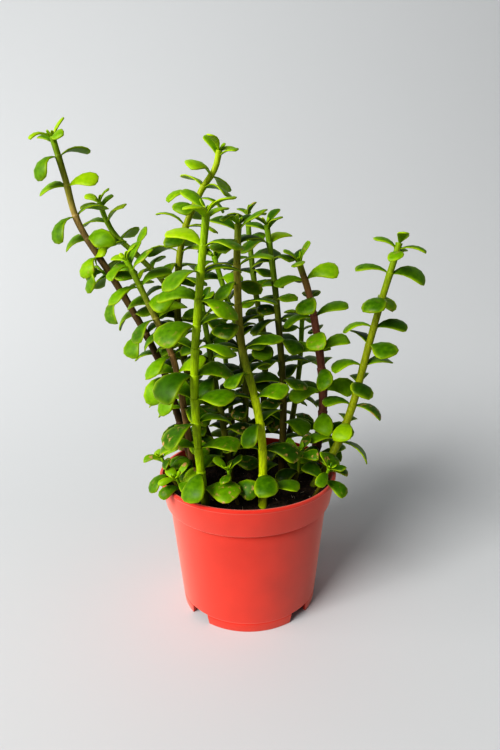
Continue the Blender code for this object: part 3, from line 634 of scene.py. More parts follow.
def pairOfLeaves(place, axis, radius, turn, plan, belowTip, draw):
    youth = max(0.0, 1.0 - belowTip / growth["fullBelowTip"])
    grown = plan["leaf"] * (growth["tipShare"] + (1 - growth["tipShare"]) * (1 - youth))
    leaves = []
    for half in (0, 180):
        outward = outwardAt(axis, turn + half + draw.uniform(-growth["anyTurn"], growth["anyTurn"]))
        root = place + outward * growth["rootSunkTo"] * radius
        leaves.append(makeLeaf(root, axis, outward, grown, plan, youth, draw))
    return leaves


def planShoot(parent, length, plan, draw):  # a thin side shoot out of a leaf's corner
    out, up = parent["outward"], parent["axis"]
    route = [parent["root"]]
    for outwards, upwards in growth["shootLean"]:
        route.append(route[-1] + (outwards * out + upwards * up) * length * 0.5)
    line = newLine(route, growth["shootGirth"])
    nodes = [line["lengths"][-1] * share for share in growth["shootPairs"]]
    line["nodes"] = nodes[:1]
    leaves = []
    for index, distance in enumerate(nodes):
        place, axis = pointAlong(line, distance)
        turn = growth["shootTurn"] + 90 * index + draw.uniform(-growth["anyTurn"], growth["anyTurn"])
        radius = 0.5 * growth["shootGirth"][1]
        leaves.extend(pairOfLeaves(place, axis, radius, turn, plan, growth["shootYouth"][index], draw))
    return line, leaves


def planStem(plan):  # a stem's lines and the places of all its leaves
    draw = random.Random(plan["seed"])
    route = plan["route"]
    foot = route[0] - (route[1] - route[0]).normalized() * growth["rootDepth"]
    stem = newLine([foot, *route], plan["girth"])
    trace, total = stem["trace"], stem["lengths"][-1]
    nodes = []
    for height, turn in plan["pairs"]:
        index = next((i for i, place in enumerate(trace) if place.z >= height), len(trace) - 1)
        nodes.append((stem["lengths"][index], turn))
    stem["nodes"] = [distance for distance, _ in nodes]
    for gap in growth["tipGaps"]:
        nodes.append((total - gap, nodes[-1][1] + 90))
    lines, leaves = [stem], []
    for index, (distance, turn) in enumerate(nodes):
        place, axis = pointAlong(stem, distance)
        radius = girthAt(plan["girth"], distance / total)
        pair = pairOfLeaves(place, axis, radius, turn, plan, total - distance, draw)
        leaves.extend(pair)
        for shootIndex, side, length in plan.get("shoots", ()):
            if shootIndex == index:
                line, more = planShoot(pair[side], length / perMetre, plan, draw)
                lines.append(line)
                leaves.extend(more)
    return lines, leaves


def growPlant():  # every stem's lines, and its leaves that found room
    neighbours = Neighbours()
    for node in ("pot", "soil"):
        neighbours.addMesh(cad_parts[node].data, -potAxis, node)
    drafts = {name: planStem(plan) for name, plan in stemPlans.items()}
    for name, (lines, _) in drafts.items():
        for line in lines:
            neighbours.addMesh(testTube(line), Vector(), name)
    grown = {}
    for name, (lines, leaves) in drafts.items():
        settled = [settle(leaf, neighbours, name) for leaf in leaves]
        grown[name] = (lines, [leaf for leaf in settled if leaf])
    return grown


grownStems = growPlant()
print("leaves that found room:", sum(len(leaves) for _, leaves in grownStems.values()))


# Leaf: a living succulent leaf, waxy and full of water, so it is satin and lets some light through. Its
# paler margins are partly its own colour and partly a painted rim highlight; its tone also holds painted
# light and shade


leafLook = {
    "sizes": {"Faces Around": 12, "Faces Along": 8, "Edge Wave": 0.45 * mm, "Plumpness": 1.0},
    "shades": ((0.0, "#1A3200"), (0.3, "#3B6000"), (0.6, "#6B9200"), (1.0, "#A2BE00")),
    "underside": "#7E9A10",
    "undersideShare": {"From Min": 0.15, "From Max": -0.35, "To Max": 0.25},
    # paler margin colour: partly the leaf's own, partly a painted rim highlight
    "marginAndRimHighlight": "#B4C81C",
    "marginShare": 0.75,
    "marginPowers": (7.0, 24.0),  # the higher, the thinner: along the sides, round the tip
    "blush": "#B08A5A",
    "blushShare": {"From Min": 0.58, "From Max": 0.74},
    "blushPower": 3,
    "lowBlush": 3.0,
    "lowShare": 0.3,
    "oldTone": 0.36,  # shade of an old leaf low down, and what height, youth, sun and chance add to it
    "climbTone": 0.14,
    "youngTone": 0.25,
    # lighter on the plant's left, where the window light falls: painted light
    "paintedLightTone": 0.14,
    # darker near the plant's middle, where the leaves shade each other: painted shade
    "paintedShadeTone": -0.30,
    "anyTone": 0.15,
    "mottleTone": 0.35,
    "oldShare": 0.8,  # a leaf of this share of the full length is old
    "topShade": 190 * mm,
    "paintedLightReach": 90 * mm,
    "paintedShadeReach": 50 * mm,
    "skew": 0.09,
    "seed": 500,
    "patterns": {"mottle": (3.0 * mm, 3.0), "blotch": (3.2 * mm, 2.0), "pore": (0.35 * mm, 2.0)},
    "wear": {"To Min": 0.35, "To Max": 0.47},
    "bump": {"Strength": 0.25, "Distance": 0.05 * mm},
    "shader": {
        "Subsurface Weight": 0.03,
        "Subsurface Radius": (0.6, 1.0, 0.15),
        "Subsurface Scale": 1.6 * mm,
        "Specular IOR Level": 0.2,
        "IOR": 1.42,
    },
}

leafForm = {  # the form that every leaf shares
    "wedgePower": 1.1,  # slimness at the root
    "bluntPower": 0.38,  # roundness at the tip
    "outlineSize": 2.32,  # makes the widest place one wide
    "swellPower": 0.35,
    "flatPower": 0.6,
    "least": 0.2,
    "creasePower": 1.5,
    "latePower": 3.0,
    "rippleScale": 2.2,
}

leafMarks = ("along", "across", "top", "tone", "blush")  # what a leaf's material reads
leafKinds = {"unit": "FLOAT_VECTOR", "root": "FLOAT_VECTOR", "stand": "QUATERNION"}  # the rest are FLOAT
leafStored = (
    "unit", "root", "stand", "halfWidth", "thickness", "cup", "rise", "fall", "bendRadius", "roll", "skew",
    "tone",
)

leafSteps = (  # (name of the result, operation, what goes in)
    # outline: a wedge at the root, widest past the middle, round at the tip
    ("left", "SUBTRACT", 1.0, "along"),
    ("wedge", "POWER", "along", "wedgePower"),
    ("blunt", "POWER", "left", "bluntPower"),
    ("outline", "MULTIPLY", "wedge", "blunt"),
    ("wide", "MULTIPLY", "outline", "outlineSize"),
    ("halfHere", "MULTIPLY", "wide", "halfWidth"),
    ("sideways", "MULTIPLY", "halfHere", "across"),
    # section: plump in the middle, thin at the margins, which droop and wave
    ("swell", "POWER", "wide", "swellPower"),
    ("topSize", "ABSOLUTE", "top"),
    ("flatter", "POWER", "topSize", "flatPower"),
    ("topSign", "SIGN", "top"),
    ("rounded", "MULTIPLY", "flatter", "topSign"),
    ("plump", "MULTIPLY", "swell", "rounded"),
    ("half", "MULTIPLY_ADD", "plump", 0.5, "least"),
    ("depth", "MULTIPLY", "thickness", "Plumpness"),
    ("lifted", "MULTIPLY", "half", "depth"),
    ("away", "ABSOLUTE", "across"),
    ("crease", "POWER", "away", "creasePower"),
    ("cupped", "MULTIPLY", "crease", "cup"),
    ("droop", "MULTIPLY", "cupped", "halfHere"),
    ("hung", "SUBTRACT", "lifted", "droop"),
    ("centred", "SUBTRACT", "ripple", 0.5),
    ("edgeOnly", "MULTIPLY", "centred", "away"),
    ("wave", "MULTIPLY_ADD", "edgeOnly", "Edge Wave", "hung"),
    # bend: the midline is an arc that starts at the leaf's rise and falls by its arch
    ("late", "POWER", "along", "latePower"),
    ("side", "MULTIPLY", "across", "skew"),
    ("oblique", "MULTIPLY_ADD", "late", "side", "along"),
    ("angle", "MULTIPLY_ADD", "oblique", "fall", "rise"),
)


def leafMaterial(look):
    made, add, drawn = newMaterial("succulent leaf", look["patterns"])
    read = {}
    for name in leafMarks:
        read[name] = add("Attribute", attribute_name=name).outputs["Fac"]
    tone = look["mottleTone"]
    toned = add("Math", {0: drawn["mottle"], 1: tone, 2: read["tone"]}, operation="MULTIPLY_ADD")
    centred = add("Math", {0: toned, 1: tone / 2}, operation="SUBTRACT")
    shade = add("ValToRGB", {"Fac": centred})
    setRamp(shade, look["shades"])
    below = add("MapRange", {"Value": read["top"], **look["undersideShare"]})
    # paler towards the margins and the tip: partly the leaf's own colour, partly a painted rim highlight
    sidePower, tipPower = look["marginPowers"]
    away = add("Math", {0: read["across"]}, operation="ABSOLUTE")
    rim = add("Math", {0: away, 1: sidePower}, operation="POWER")
    end = add("Math", {0: read["along"], 1: tipPower}, operation="POWER")
    edge = add("Math", {0: rim, 1: end}, operation="MAXIMUM")
    pale = add("Math", {0: edge, 1: look["marginShare"]}, operation="MULTIPLY")
    patch = add("MapRange", {"Value": drawn["blotch"], **look["blushShare"]})
    old = add("Math", {0: patch, 1: read["blush"]}, operation="MULTIPLY")
    towardsTip = add("Math", {0: old, 1: read["along"]}, operation="MULTIPLY")
    colour = shade.outputs["Color"]
    for share, name in ((below, "underside"), (pale, "marginAndRimHighlight"), (towardsTip, "blush")):
        mixed = add("Mix", {"Factor": share, 6: colour, 7: linear(look[name])}, data_type="RGBA")
        colour = mixed.outputs[2]
    waxed = add("MapRange", {"Value": drawn["mottle"], **noiseSpan, **look["wear"]})
    bump = add("Bump", {"Height": drawn["pore"], **look["bump"]})
    return endMaterial(made, {"Base Color": colour, "Roughness": waxed, "Normal": bump, **look["shader"]})


def leafTree(material, sizes):  # bends a plain round blade at every station into a grown leaf
    tree, add, given = newTree("leaves", sizes)
    at = dict(leafForm)  # all that a step may read, by name
    for label in sizes:
        at[label] = given[label]
    blade = {"Segments": at["Faces Around"], "Rings": at["Faces Along"], "Radius": 1.0}
    ball = add("GeometryNodeMeshUVSphere", blade)
    kept = {"Geometry": ball, "Name": "unit", "Value": add("GeometryNodeInputPosition")}
    unit = add("GeometryNodeStoreNamedAttribute", kept, data_type="FLOAT_VECTOR", domain="POINT")
    placed = add("GeometryNodeInstanceOnPoints", {"Points": given["Geometry"], "Instance": unit})
    real = add("GeometryNodeRealizeInstances", {"Geometry": placed})
    for name in leafStored:
        kind = leafKinds.get(name, "FLOAT")
        stored = add("GeometryNodeInputNamedAttribute", {"Name": name}, data_type=kind)
        at[name] = stored.outputs["Attribute"]

    # along runs from the root to the tip, across from margin to margin, top from underside to face
    height = add("SeparateXYZ", {0: at["unit"]}).outputs["Z"]
    at["along"] = add("Math", {0: height, 1: 0.5, 2: 0.5}, operation="MULTIPLY_ADD")
    flat = add("VectorMath", {0: at["unit"], 1: (1.0, 1.0, 0.0)}, operation="MULTIPLY")
    around = add("VectorMath", {0: flat}, operation="NORMALIZE")
    aroundParts = add("SeparateXYZ", {0: around}).outputs
    at["across"], at["top"] = aroundParts["X"], aroundParts["Y"]
    spot = add("CombineXYZ", {0: at["across"], 1: at["along"], 2: at["tone"]})
    at["ripple"] = add("TexNoise", {"Vector": spot, "Scale": at["rippleScale"], "Detail": 0.0})
    for name, operation, *terms in leafSteps:
        inputs = {index: at.get(term, term) for index, term in enumerate(terms)}
        at[name] = add("Math", inputs, operation=operation)

    # the section, rolled and tilted, stands on the midline, and the whole leaf on its root
    section = add("CombineXYZ", {"X": at["sideways"], "Z": at["wave"]})
    rolled = add("VectorRotate", {"Vector": section, "Angle": at["roll"]}, rotation_type="Y_AXIS")
    tilted = add("VectorRotate", {"Vector": rolled, "Angle": at["angle"]}, rotation_type="X_AXIS")
    for name, angle in (("arcStart", at["rise"]), ("arcHere", at["angle"])):
        inputs = {"Vector": (0.0, 0.0, -1.0), "Angle": angle}
        at[name] = add("VectorRotate", inputs, rotation_type="X_AXIS")
    chord = add("VectorMath", {0: at["arcStart"], 1: at["arcHere"]}, operation="SUBTRACT")
    midline = add("VectorMath", {0: chord, "Scale": at["bendRadius"]}, operation="SCALE")
    local = add("VectorMath", {0: tilted, 1: midline}, operation="ADD")
    turned = add("FunctionNodeRotateVector", {"Vector": local, "Rotation": at["stand"]})
    final = add("VectorMath", {0: turned, 1: at["root"]}, operation="ADD")
    for name in ("along", "across", "top"):
        kept = {"Geometry": real, "Name": name, "Value": at[name]}
        real = add("GeometryNodeStoreNamedAttribute", kept, data_type="FLOAT", domain="POINT")
    grown = add("GeometryNodeSetPosition", {"Geometry": real, "Position": final})
    smooth = add("GeometryNodeSetShadeSmooth", {"Geometry": grown})
    return endTree(tree, smooth, material)


budLook = {
    "lengths": (6.5 * mm, 4.0 * mm),
    "gap": 0.6 * mm,
    "offset": 0.3 * mm,
    "rise": 74,
    "arch": 24,
    "width": 0.5,
    "thickness": 0.9 * mm,
    "cup": 0.35,
    "anyTurn": (-12, 12),
    "anySize": (0.8, 1.15),
    "anyRise": (-8, 6),
    "anyArch": (-6, 10),
}


def tipBuds(line, plan, draw):  # the tiny pairs still folded up at a growing tip
    look = budLook
    place, axis = pointAlong(line, line["lengths"][-1] - look["gap"])
    buds = []
    for pair, length in enumerate(look["lengths"]):
        for half in (0, 180):
            turn = plan["pairs"][-1][1] + 90 * pair + half + draw.uniform(*look["anyTurn"])
            outward = outwardAt(axis, turn)
            size = length * draw.uniform(*look["anySize"])
            bud = {"axis": axis, "outward": outward, "roll": 0.0, "young": 1.0, "length": size}
            bud["root"] = place + outward * look["offset"]
            bud["width"] = size * look["width"]
            bud["rise"] = math.radians(look["rise"] + draw.uniform(*look["anyRise"]))
            bud["arch"] = math.radians(look["arch"] + draw.uniform(*look["anyArch"]))
            buds.append({**bud, "thickness": look["thickness"], "cup": look["cup"]})
    return buds


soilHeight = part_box("soil")[1][2]


def makeLeaves(name, lines, leaves, plan, tree):
    look = leafLook
    draw = random.Random(plan["seed"] + look["seed"])
    stations = leaves + tipBuds(lines[0], plan, draw)
    stored = {key: [leaf[key] for leaf in stations] for key in ("root", "thickness", "cup", "rise", "roll")}
    stored["halfWidth"] = [leaf["width"] / 2 for leaf in stations]
    stored["fall"] = [-leaf["arch"] for leaf in stations]
    stored["bendRadius"] = [leaf["length"] / leaf["arch"] for leaf in stations]
    stored.update({"stand": [], "tone": [], "blush": []})
    for leaf in stations:
        outward, axis = leaf["outward"], leaf["axis"]
        stored["stand"].append(Matrix((outward.cross(axis), outward, axis)).transposed().to_quaternion())
        youth = leaf.get("young", 1.0 - min(1.0, leaf["length"] / (look["oldShare"] * plan["leaf"])))
        climb = min(1.0, (leaf["root"].z - soilHeight) / look["topShade"])
        # leaves on the lit left side of the plant are lightened: painted light
        sun = min(1.0, max(0.0, -leaf["root"].x / look["paintedLightReach"]))
        # leaves near the middle of the plant are darkened: painted shade
        inside = max(0.0, 1.0 - leaf["root"].xy.length / look["paintedShadeReach"])
        tone = look["oldTone"] + look["climbTone"] * climb
        tone += look["youngTone"] * youth + look["paintedLightTone"] * sun + look["paintedShadeTone"] * inside
        stored["tone"].append(min(1.0, max(0.0, draw.gauss(tone, look["anyTone"]))))
        blush = draw.random() ** look["blushPower"]
        stored["blush"].append(blush * (look["lowBlush"] if climb < look["lowShare"] else 1.0))
    stored["skew"] = [draw.uniform(-look["skew"], look["skew"]) for _ in stations]
    obj = newObject(pieceName(name, "leaves"), stored["root"])
    for key, values in stored.items():
        giveAttribute(obj.data, key, leafKinds.get(key, "FLOAT"), values)
    runTree(obj, tree, look["sizes"])
    dropAttributes(obj.data, leafMarks)
    handOver(obj, "foliage", name)


leavesTree = leafTree(leafMaterial(leafLook), leafLook["sizes"])
for name, (lines, leaves) in grownStems.items():
    makeLeaves(name, lines, leaves, stemPlans[name], leavesTree)
print("leaves made")


# Stem: living jointed stem, green and smooth when young, with thin brown bark where it is old. Some stems
# are painted lighter where their leaves shade them: painted light


stemLook = {
    "sizes": {"Sides": 14, "Unevenness": 0.035},
    "swelling": 5 * mm,
    "patterns": {"streak": (0.9 * mm, 4.0, (1.0, 1.0, 0.22))},  # drawn out up the stem
    "lightness": {"To Min": 0.72, "To Max": 1.25},
    "bump": {"Strength": 0.5, "Distance": 0.12 * mm},
    "shader": {
        "Roughness": 0.45,
        "Specular IOR Level": 0.2,
        "Subsurface Weight": 0.03,
        "Subsurface Radius": (0.8, 1.0, 0.2),
        "Subsurface Scale": 1.2 * mm,
    },
    "young": "#84A808",
    "skinsWithPaintedLight": {  # (share of the way from the soil to the tip, colour)
        "leafy_stem_far_left": (
            (0, "#6B5438"), (0.25, "#5A4228"), (0.7, "#705C38"), (0.79, "#9A8250"), (0.86, "#8A8630"),
            (0.93, "#626A12"), (1, "#7EA010"),
        ),
        "leafy_stem_back_left": ((0, "#6F5A35"), (0.5, "#76722E"), (1, "#7EA010")),
        "leafy_stem_left": ((0, "#8A6A42"), (0.6, "#94744A"), (0.85, "#869426"), (1, "#7EA010")),
        "leafy_stem_tall_back": ((0, "#6A6420"), (0.5, "#747416"), (0.8, "#96A010"), (1, "#A0B40A")),
        # the lower and middle stops of this stem are lightened where its leaves shade it: painted light
        "leafy_stem_front_left": (
            (0, "#6C7A14"), (0.08, "#98B200"), (0.5, "#9CB600"), (0.8, "#8CA600"), (1, "#7E9C00"),
        ),
        # the lower stops of this stem are lightened where leaves shade it: painted light
        "leafy_stem_front": (
            (0, "#ACBA04"), (0.38, "#B4C40C"), (0.5, "#74801A"), (0.6, "#7C7A20"), (0.8, "#98903A"),
            (1, "#7A8C0C"),
        ),
        "leafy_stem_back": ((0, "#5E5A20"), (0.6, "#5A6214"), (1, "#729210")),
        "leafy_stem_middle": ((0, "#5A4C20"), (0.6, "#5C5E16"), (1, "#729210")),
        "leafy_stem_mid_right": (
            (0, "#4E3326"), (0.6, "#764A3A"), (0.76, "#8E5A48"), (0.94, "#70602C"), (1, "#7C9010"),
        ),
        "leafy_stem_far_right": ((0, "#6E7A10"), (0.3, "#848C08"), (0.7, "#7A8206"), (1, "#7A9408")),
    },
    "otherSkin": ((0, "#6A6224"), (0.5, "#707A1C"), (1, "#7CA010")),
}


def stemMaterial(look):
    made, add, drawn = newMaterial("jointed stem", look["patterns"])
    skin = add("Attribute", attribute_name="skin").outputs["Color"]
    lightness = add("MapRange", {"Value": drawn["streak"], **noiseSpan, **look["lightness"]})
    coloured = add("VectorMath", {0: skin, "Scale": lightness}, operation="SCALE")
    bump = add("Bump", {"Height": drawn["streak"], **look["bump"]})
    return endMaterial(made, {"Base Color": coloured, "Normal": bump, **look["shader"]})


def stemTree(material, look):  # a tube along each line, as thick as its points say
    tree, add, given = newTree("stems", look["sizes"])
    thick = add("GeometryNodeInputNamedAttribute", {"Name": "thick"}, data_type="FLOAT")
    line = add("GeometryNodeMeshToCurve", {"Mesh": given["Geometry"]})
    ring = add("GeometryNodeCurvePrimitiveCircle", {"Resolution": given["Sides"], "Radius": 1.0})
    swept = {"Curve": line, "Profile Curve": ring, "Scale": thick, "Fill Caps": True}
    tube = add("GeometryNodeCurveToMesh", swept)
    uneven = add("TexNoise", {"Scale": 1 / look["swelling"], "Detail": 1.0})
    centred = add("Math", {0: uneven, 1: 0.5}, operation="SUBTRACT")
    share = add("Math", {0: centred, 1: given["Unevenness"]}, operation="MULTIPLY")
    amount = add("Math", {0: share, 1: thick}, operation="MULTIPLY")
    outwards = add("GeometryNodeInputNormal")
    offset = add("VectorMath", {0: outwards, "Scale": amount}, operation="SCALE")
    moved = add("GeometryNodeSetPosition", {"Geometry": tube, "Offset": offset})
    smooth = add("GeometryNodeSetShadeSmooth", {"Geometry": moved})
    real = add("GeometryNodeRealizeInstances", {"Geometry": smooth})
    return endTree(tree, real, material)


lengthShape = (  # one length between two nodes: (share of the way, thickness beside the plain taper)
    (0.0, 0.92), (0.04, 0.93), (0.2, 0.94), (0.45, 0.96), (0.7, 0.98), (0.85, 1.02), (0.94, 1.07),
    (0.985, 1.08),
)


def linePoints(line):  # distances and radii up a line, each length ending in the lip of its node
    total, girth = line["lengths"][-1], line["girth"]
    rings = [0.0] + [distance + growth["nodeRise"] for distance in line["nodes"]] + [total]
    points = []
    for low, high in zip(rings, rings[1:]):
        for share, factor in lengthShape:
            distance = low + (high - low) * share
            points.append((distance, factor * girthAt(girth, distance / total)))
    points.append((total, growth["tipTaper"] * girthAt(girth, 1.0)))
    return points


def skinAt(stops, share):
    stops = [(place, linear(hexColour)) for place, hexColour in stops]
    for (low, first), (high, second) in zip(stops, stops[1:]):
        if share <= high:
            t = (share - low) / (high - low)
            return [a + (b - a) * max(0.0, t) for a, b in zip(first, second)]
    return list(stops[-1][1])


def makeStem(name, lines, tree):
    skin = stemLook["skinsWithPaintedLight"].get(name, stemLook["otherSkin"])
    vertices, edges, radii, colours = [], [], [], []
    for number, line in enumerate(lines):
        buried = growth["rootDepth"] if number == 0 else 0.0
        for index, (distance, radius) in enumerate(linePoints(line)):
            place, _ = pointAlong(line, distance)
            share = max(0.0, distance - buried) / (line["lengths"][-1] - buried)
            if index:
                edges.append((len(vertices) - 1, len(vertices)))
            vertices.append(place)
            radii.append(radius)
            colours.append(skinAt(skin, share) if number == 0 else linear(stemLook["young"]))
    obj = newObject(pieceName(name, "stem"), vertices, edges)
    giveAttribute(obj.data, "thick", "FLOAT", radii)
    giveAttribute(obj.data, "skin", "FLOAT_COLOR", colours)
    runTree(obj, tree, stemLook["sizes"])
    dropAttributes(obj.data, ("skin",))
    handOver(obj, "stem", name)


stemsTree = stemTree(stemMaterial(stemLook), stemLook)
for name, (lines, _) in grownStems.items():
    makeStem(name, lines, stemsTree)
print("stems made")


# Pot: injection moulded polypropylene, softly glossy, with one colour all through


potShape = {
    "height": potHigh[2] - potLow[2],
    "rimRadius": (potHigh[0] - potLow[0]) / 2,
    "collarHeight": 19.5 * mm,
    "collarFootRadius": 56.4 * mm,
    "bodyTopRadius": 53.9 * mm,
    "baseRadius": 46.6 * mm,
    "wall": 1.5 * mm,
    "lip": 2.2 * mm,
    "lipStep": 0.35 * mm,
    "footWall": 2.2 * mm,
    "plateUnderside": 7.0 * mm,
    "plateTop": 8.8 * mm,
    "round": 0.8 * mm,
    "seamHeight": 6.4 * mm,
    "seamDepth": 0.22 * mm,
    "seamRound": 0.2 * mm,
    "steps": 160,
    "notches": 4,
    "notchTurn": 45,
    "notchHeight": 6.8 * mm,
    "notchBelow": 17.0 * mm,
    "notchAbove": 14.2 * mm,
    "drainRadius": 4.5 * mm,
    "drainRing": 28.0 * mm,
    "drainSides": 32,
    "sharpFrom": 40,
}

potLook = {
    "patterns": {"cloud": (26 * mm, 2.0), "grain": (0.6 * mm, 2.0)},
    "shades": ((0.35, "#C4301D"), (0.65, "#CE3522")),
    "wear": {"To Min": 0.58, "To Max": 0.68},
    "bump": {"Strength": 0.15, "Distance": 0.04 * mm},
    "shader": {
        "IOR": 1.49,
        "Specular IOR Level": 0.25,
        "Sheen Weight": 0.62,  # the dust and haze that pale its lit side
        "Sheen Tint": linear("#FFE8DA"),
        "Sheen Roughness": 0.5,
        "Subsurface Weight": 0.35,
        "Subsurface Radius": (1.0, 0.20, 0.10),
        "Subsurface Scale": 5.0 * mm,
    },
}


def bodyRadius(height):  # outside radius of the pot's body below the collar
    top = potShape["height"] - potShape["collarHeight"]
    return potShape["baseRadius"] + (potShape["bodyTopRadius"] - potShape["baseRadius"]) * height / top


def potOutline():  # (radius, height, corner rounding): up the inside, over the lip and down the outside
    p = potShape
    top, rim, lip, wall, corner = p["height"], p["rimRadius"], p["lip"], p["wall"], p["round"]
    collarFoot = top - p["collarHeight"]
    ledge = collarFoot + wall
    inner, inFoot = rim - lip, p["baseRadius"] - p["footWall"]
    seam, depth = p["seamHeight"], p["seamDepth"]
    return [
        (0.0, p["plateTop"], 0.0),
        (bodyRadius(p["plateTop"]) - wall, p["plateTop"], 2 * corner),
        (p["bodyTopRadius"] - wall, ledge, corner),
        (p["collarFootRadius"] - wall, ledge, corner),
        (inner, top - 0.3 * lip, 0.3 * corner),
        (inner + 0.1 * lip, top, 0.6 * corner),
        (rim, top, 0.9 * corner),
        (rim, top - 0.9 * lip, 0.5 * corner),
        (rim - p["lipStep"], top - 1.1 * lip, 0.3 * corner),
        (p["collarFootRadius"], collarFoot, 0.9 * corner),
        (p["bodyTopRadius"], collarFoot, 0.7 * corner),
        (bodyRadius(seam + 3 * depth), seam + 3 * depth, p["seamRound"]),
        (bodyRadius(seam) - depth, seam, p["seamRound"]),
        (bodyRadius(seam - 3 * depth), seam - 3 * depth, p["seamRound"]),
        (p["baseRadius"], 0.0, 0.5 * corner),
        (inFoot, 0.0, 0.5 * corner),
        (inFoot, p["plateUnderside"], corner),
        (0.0, p["plateUnderside"], 0.0),
    ]


def roundedOutline(corners, steps=4, mostShare=0.45):  # each corner of an outline as a small smooth curve
    points = []
    for index, (radius, height, rounding) in enumerate(corners):
        here = Vector((radius, height))
        if rounding == 0 or index in (0, len(corners) - 1):
            points.append(here)
            continue
        before = Vector(corners[index - 1][:2]) - here
        after = Vector(corners[index + 1][:2]) - here
        reach = min(rounding, mostShare * before.length, mostShare * after.length)
        start, end = here + before.normalized() * reach, here + after.normalized() * reach
        for i in range(steps + 1):
            t = i / steps
            points.append(start.lerp(here, t).lerp(here.lerp(end, t), t))
    return points


def turnedBody(name, outline, steps):
    obj = newObject(name, [(x, 0, z) for x, z in outline], [(i, i + 1) for i in range(len(outline) - 1)])
    turned = obj.modifiers.new("turned", "SCREW")
    turned.steps = turned.render_steps = steps
    turned.use_merge_vertices = True
    turned.merge_threshold = weldReach
    bakeModifiers(obj)
    cleanMesh(obj.data)
    return obj


def potCutters():  # four wedge notches through the foot and four round holes through the plate
    p = potShape
    shape = bmesh.new()
    for number in range(p["notches"]):
        reach = 4 * p["footWall"]
        bearing = 360 / p["notches"] * number
        turn = Matrix.Rotation(math.radians(p["notchTurn"] + bearing), 4, "Z")
        for vertex in bmesh.ops.create_cube(shape, size=1.0)["verts"]:
            below = vertex.co.z < 0
            vertex.co.x = p["baseRadius"] - 0.5 * p["footWall"] + reach * vertex.co.x
            vertex.co.y *= p["notchBelow"] if below else p["notchAbove"]
            vertex.co.z = -p["footWall"] if below else p["notchHeight"]
            vertex.co = turn @ vertex.co
        away = math.radians(bearing)
        place = (p["drainRing"] * math.cos(away), p["drainRing"] * math.sin(away), p["plateTop"])
        bmesh.ops.create_cone(
            shape,
            cap_ends=True,
            segments=p["drainSides"],
            radius1=p["drainRadius"],
            radius2=p["drainRadius"],
            depth=2 * p["plateTop"],
            matrix=Matrix.Translation(place),
        )
    obj = newObject("pot cutters", [])
    shape.to_mesh(obj.data)
    shape.free()
    return obj


def makePot():
    pot = turnedBody("pot_moulding", roundedOutline(potOutline()), potShape["steps"])
    cutters = potCutters()
    difference = pot.modifiers.new("cut", "BOOLEAN")
    difference.operation = "DIFFERENCE"
    difference.object = cutters
    bakeModifiers(pot)
    bpy.data.objects.remove(cutters, do_unlink=True)
    cleanMesh(pot.data)
    pot.data.materials.clear()
    pot.data.materials.append(shadedMaterial("moulded polypropylene", potLook))
    pot.data.shade_smooth()
    pot.data.set_sharp_from_angle(angle=math.radians(potShape["sharpFrom"]))
    handOver(pot, "pot", "pot")


makePot()
print("pot made")


# Soil: damp peat, a dull crumbly mass with loose crumbs, a little grit and dry scraps on it


soilShape = {
    "top": 85.5 * mm,
    "rings": 90,
    "around": 200,
    # height and width of the broad lumps, as the solid has, of the clods and of the crumbs
    "lumps": ((1.3 * mm, 11 * mm), (0.9 * mm, 4 * mm), (0.45 * mm, 1.3 * mm)),
    "crown": 1.0 * mm,
    "flatEdge": 0.06,
    "gap": 0.3 * mm,
    "inFromWall": 1.4,
    "surfaceDepth": 4 * mm,
    "flatness": 0.01 * mm,
}

soilLook = {
    "patterns": {"patch": (3.0 * mm, 5.0), "fleck": (0.7 * mm, 3.0)},
    "shades": ((0.30, "#1B130E"), (0.55, "#3A2A1E"), (0.78, "#5A4632")),
    "bump": {"Strength": 0.8, "Distance": 0.4 * mm},
    "shader": {"Roughness": 0.92},
}

gritLook = {
    "patterns": {"spot": (1.5 * mm, 3.0)},
    "shades": ((0.35, "#8F7F68"), (0.5, "#C4B8A2"), (0.65, "#E4DDCF")),
    "shader": {"Roughness": 0.8},
}

bitSizes = ("Density", "Smallest", "Largest", "Stretch", "Seed")
looseBits = {  # how many on each square metre, half sizes, how many times longer than wide, seed
    "peat_crumbs": (230000.0, 0.4 * mm, 1.5 * mm, 1.0, 4),
    "grit_grains": (5200.0, 0.45 * mm, 1.1 * mm, 1.0, 9),
    "dry_scraps": (2600.0, 0.35 * mm, 0.6 * mm, 6.0, 15),
}

bitForm = {
    "turn": 6.28,
    "fewPower": 2.5,  # the higher, the fewer large ones
    "least": (0.7, 0.5, 0.4),
    "most": (1.3, 1.0, 0.8),
    "seed": 21,
    "dent": 0.7 * mm,
    "dentWidth": 0.9 * mm,
}


def soilTopAt(x, y):  # height of the peat's surface
    out = math.hypot(x, y) / soilEdge()
    height = soilShape["crown"] * (1 - out)
    for size, width in soilShape["lumps"]:
        height += size * noise.noise(Vector((x, y, 0.0)) / width)
    settled = min(1.0, max(0.0, (1 - out) / soilShape["flatEdge"]))
    return soilShape["top"] + height * settled


def soilEdge():
    p = potShape
    share = (soilShape["top"] - p["height"] + p["collarHeight"]) / p["collarHeight"]
    outside = p["collarFootRadius"] + (p["rimRadius"] - p["collarFootRadius"]) * share
    return outside - soilShape["inFromWall"] * p["wall"] - soilShape["gap"]


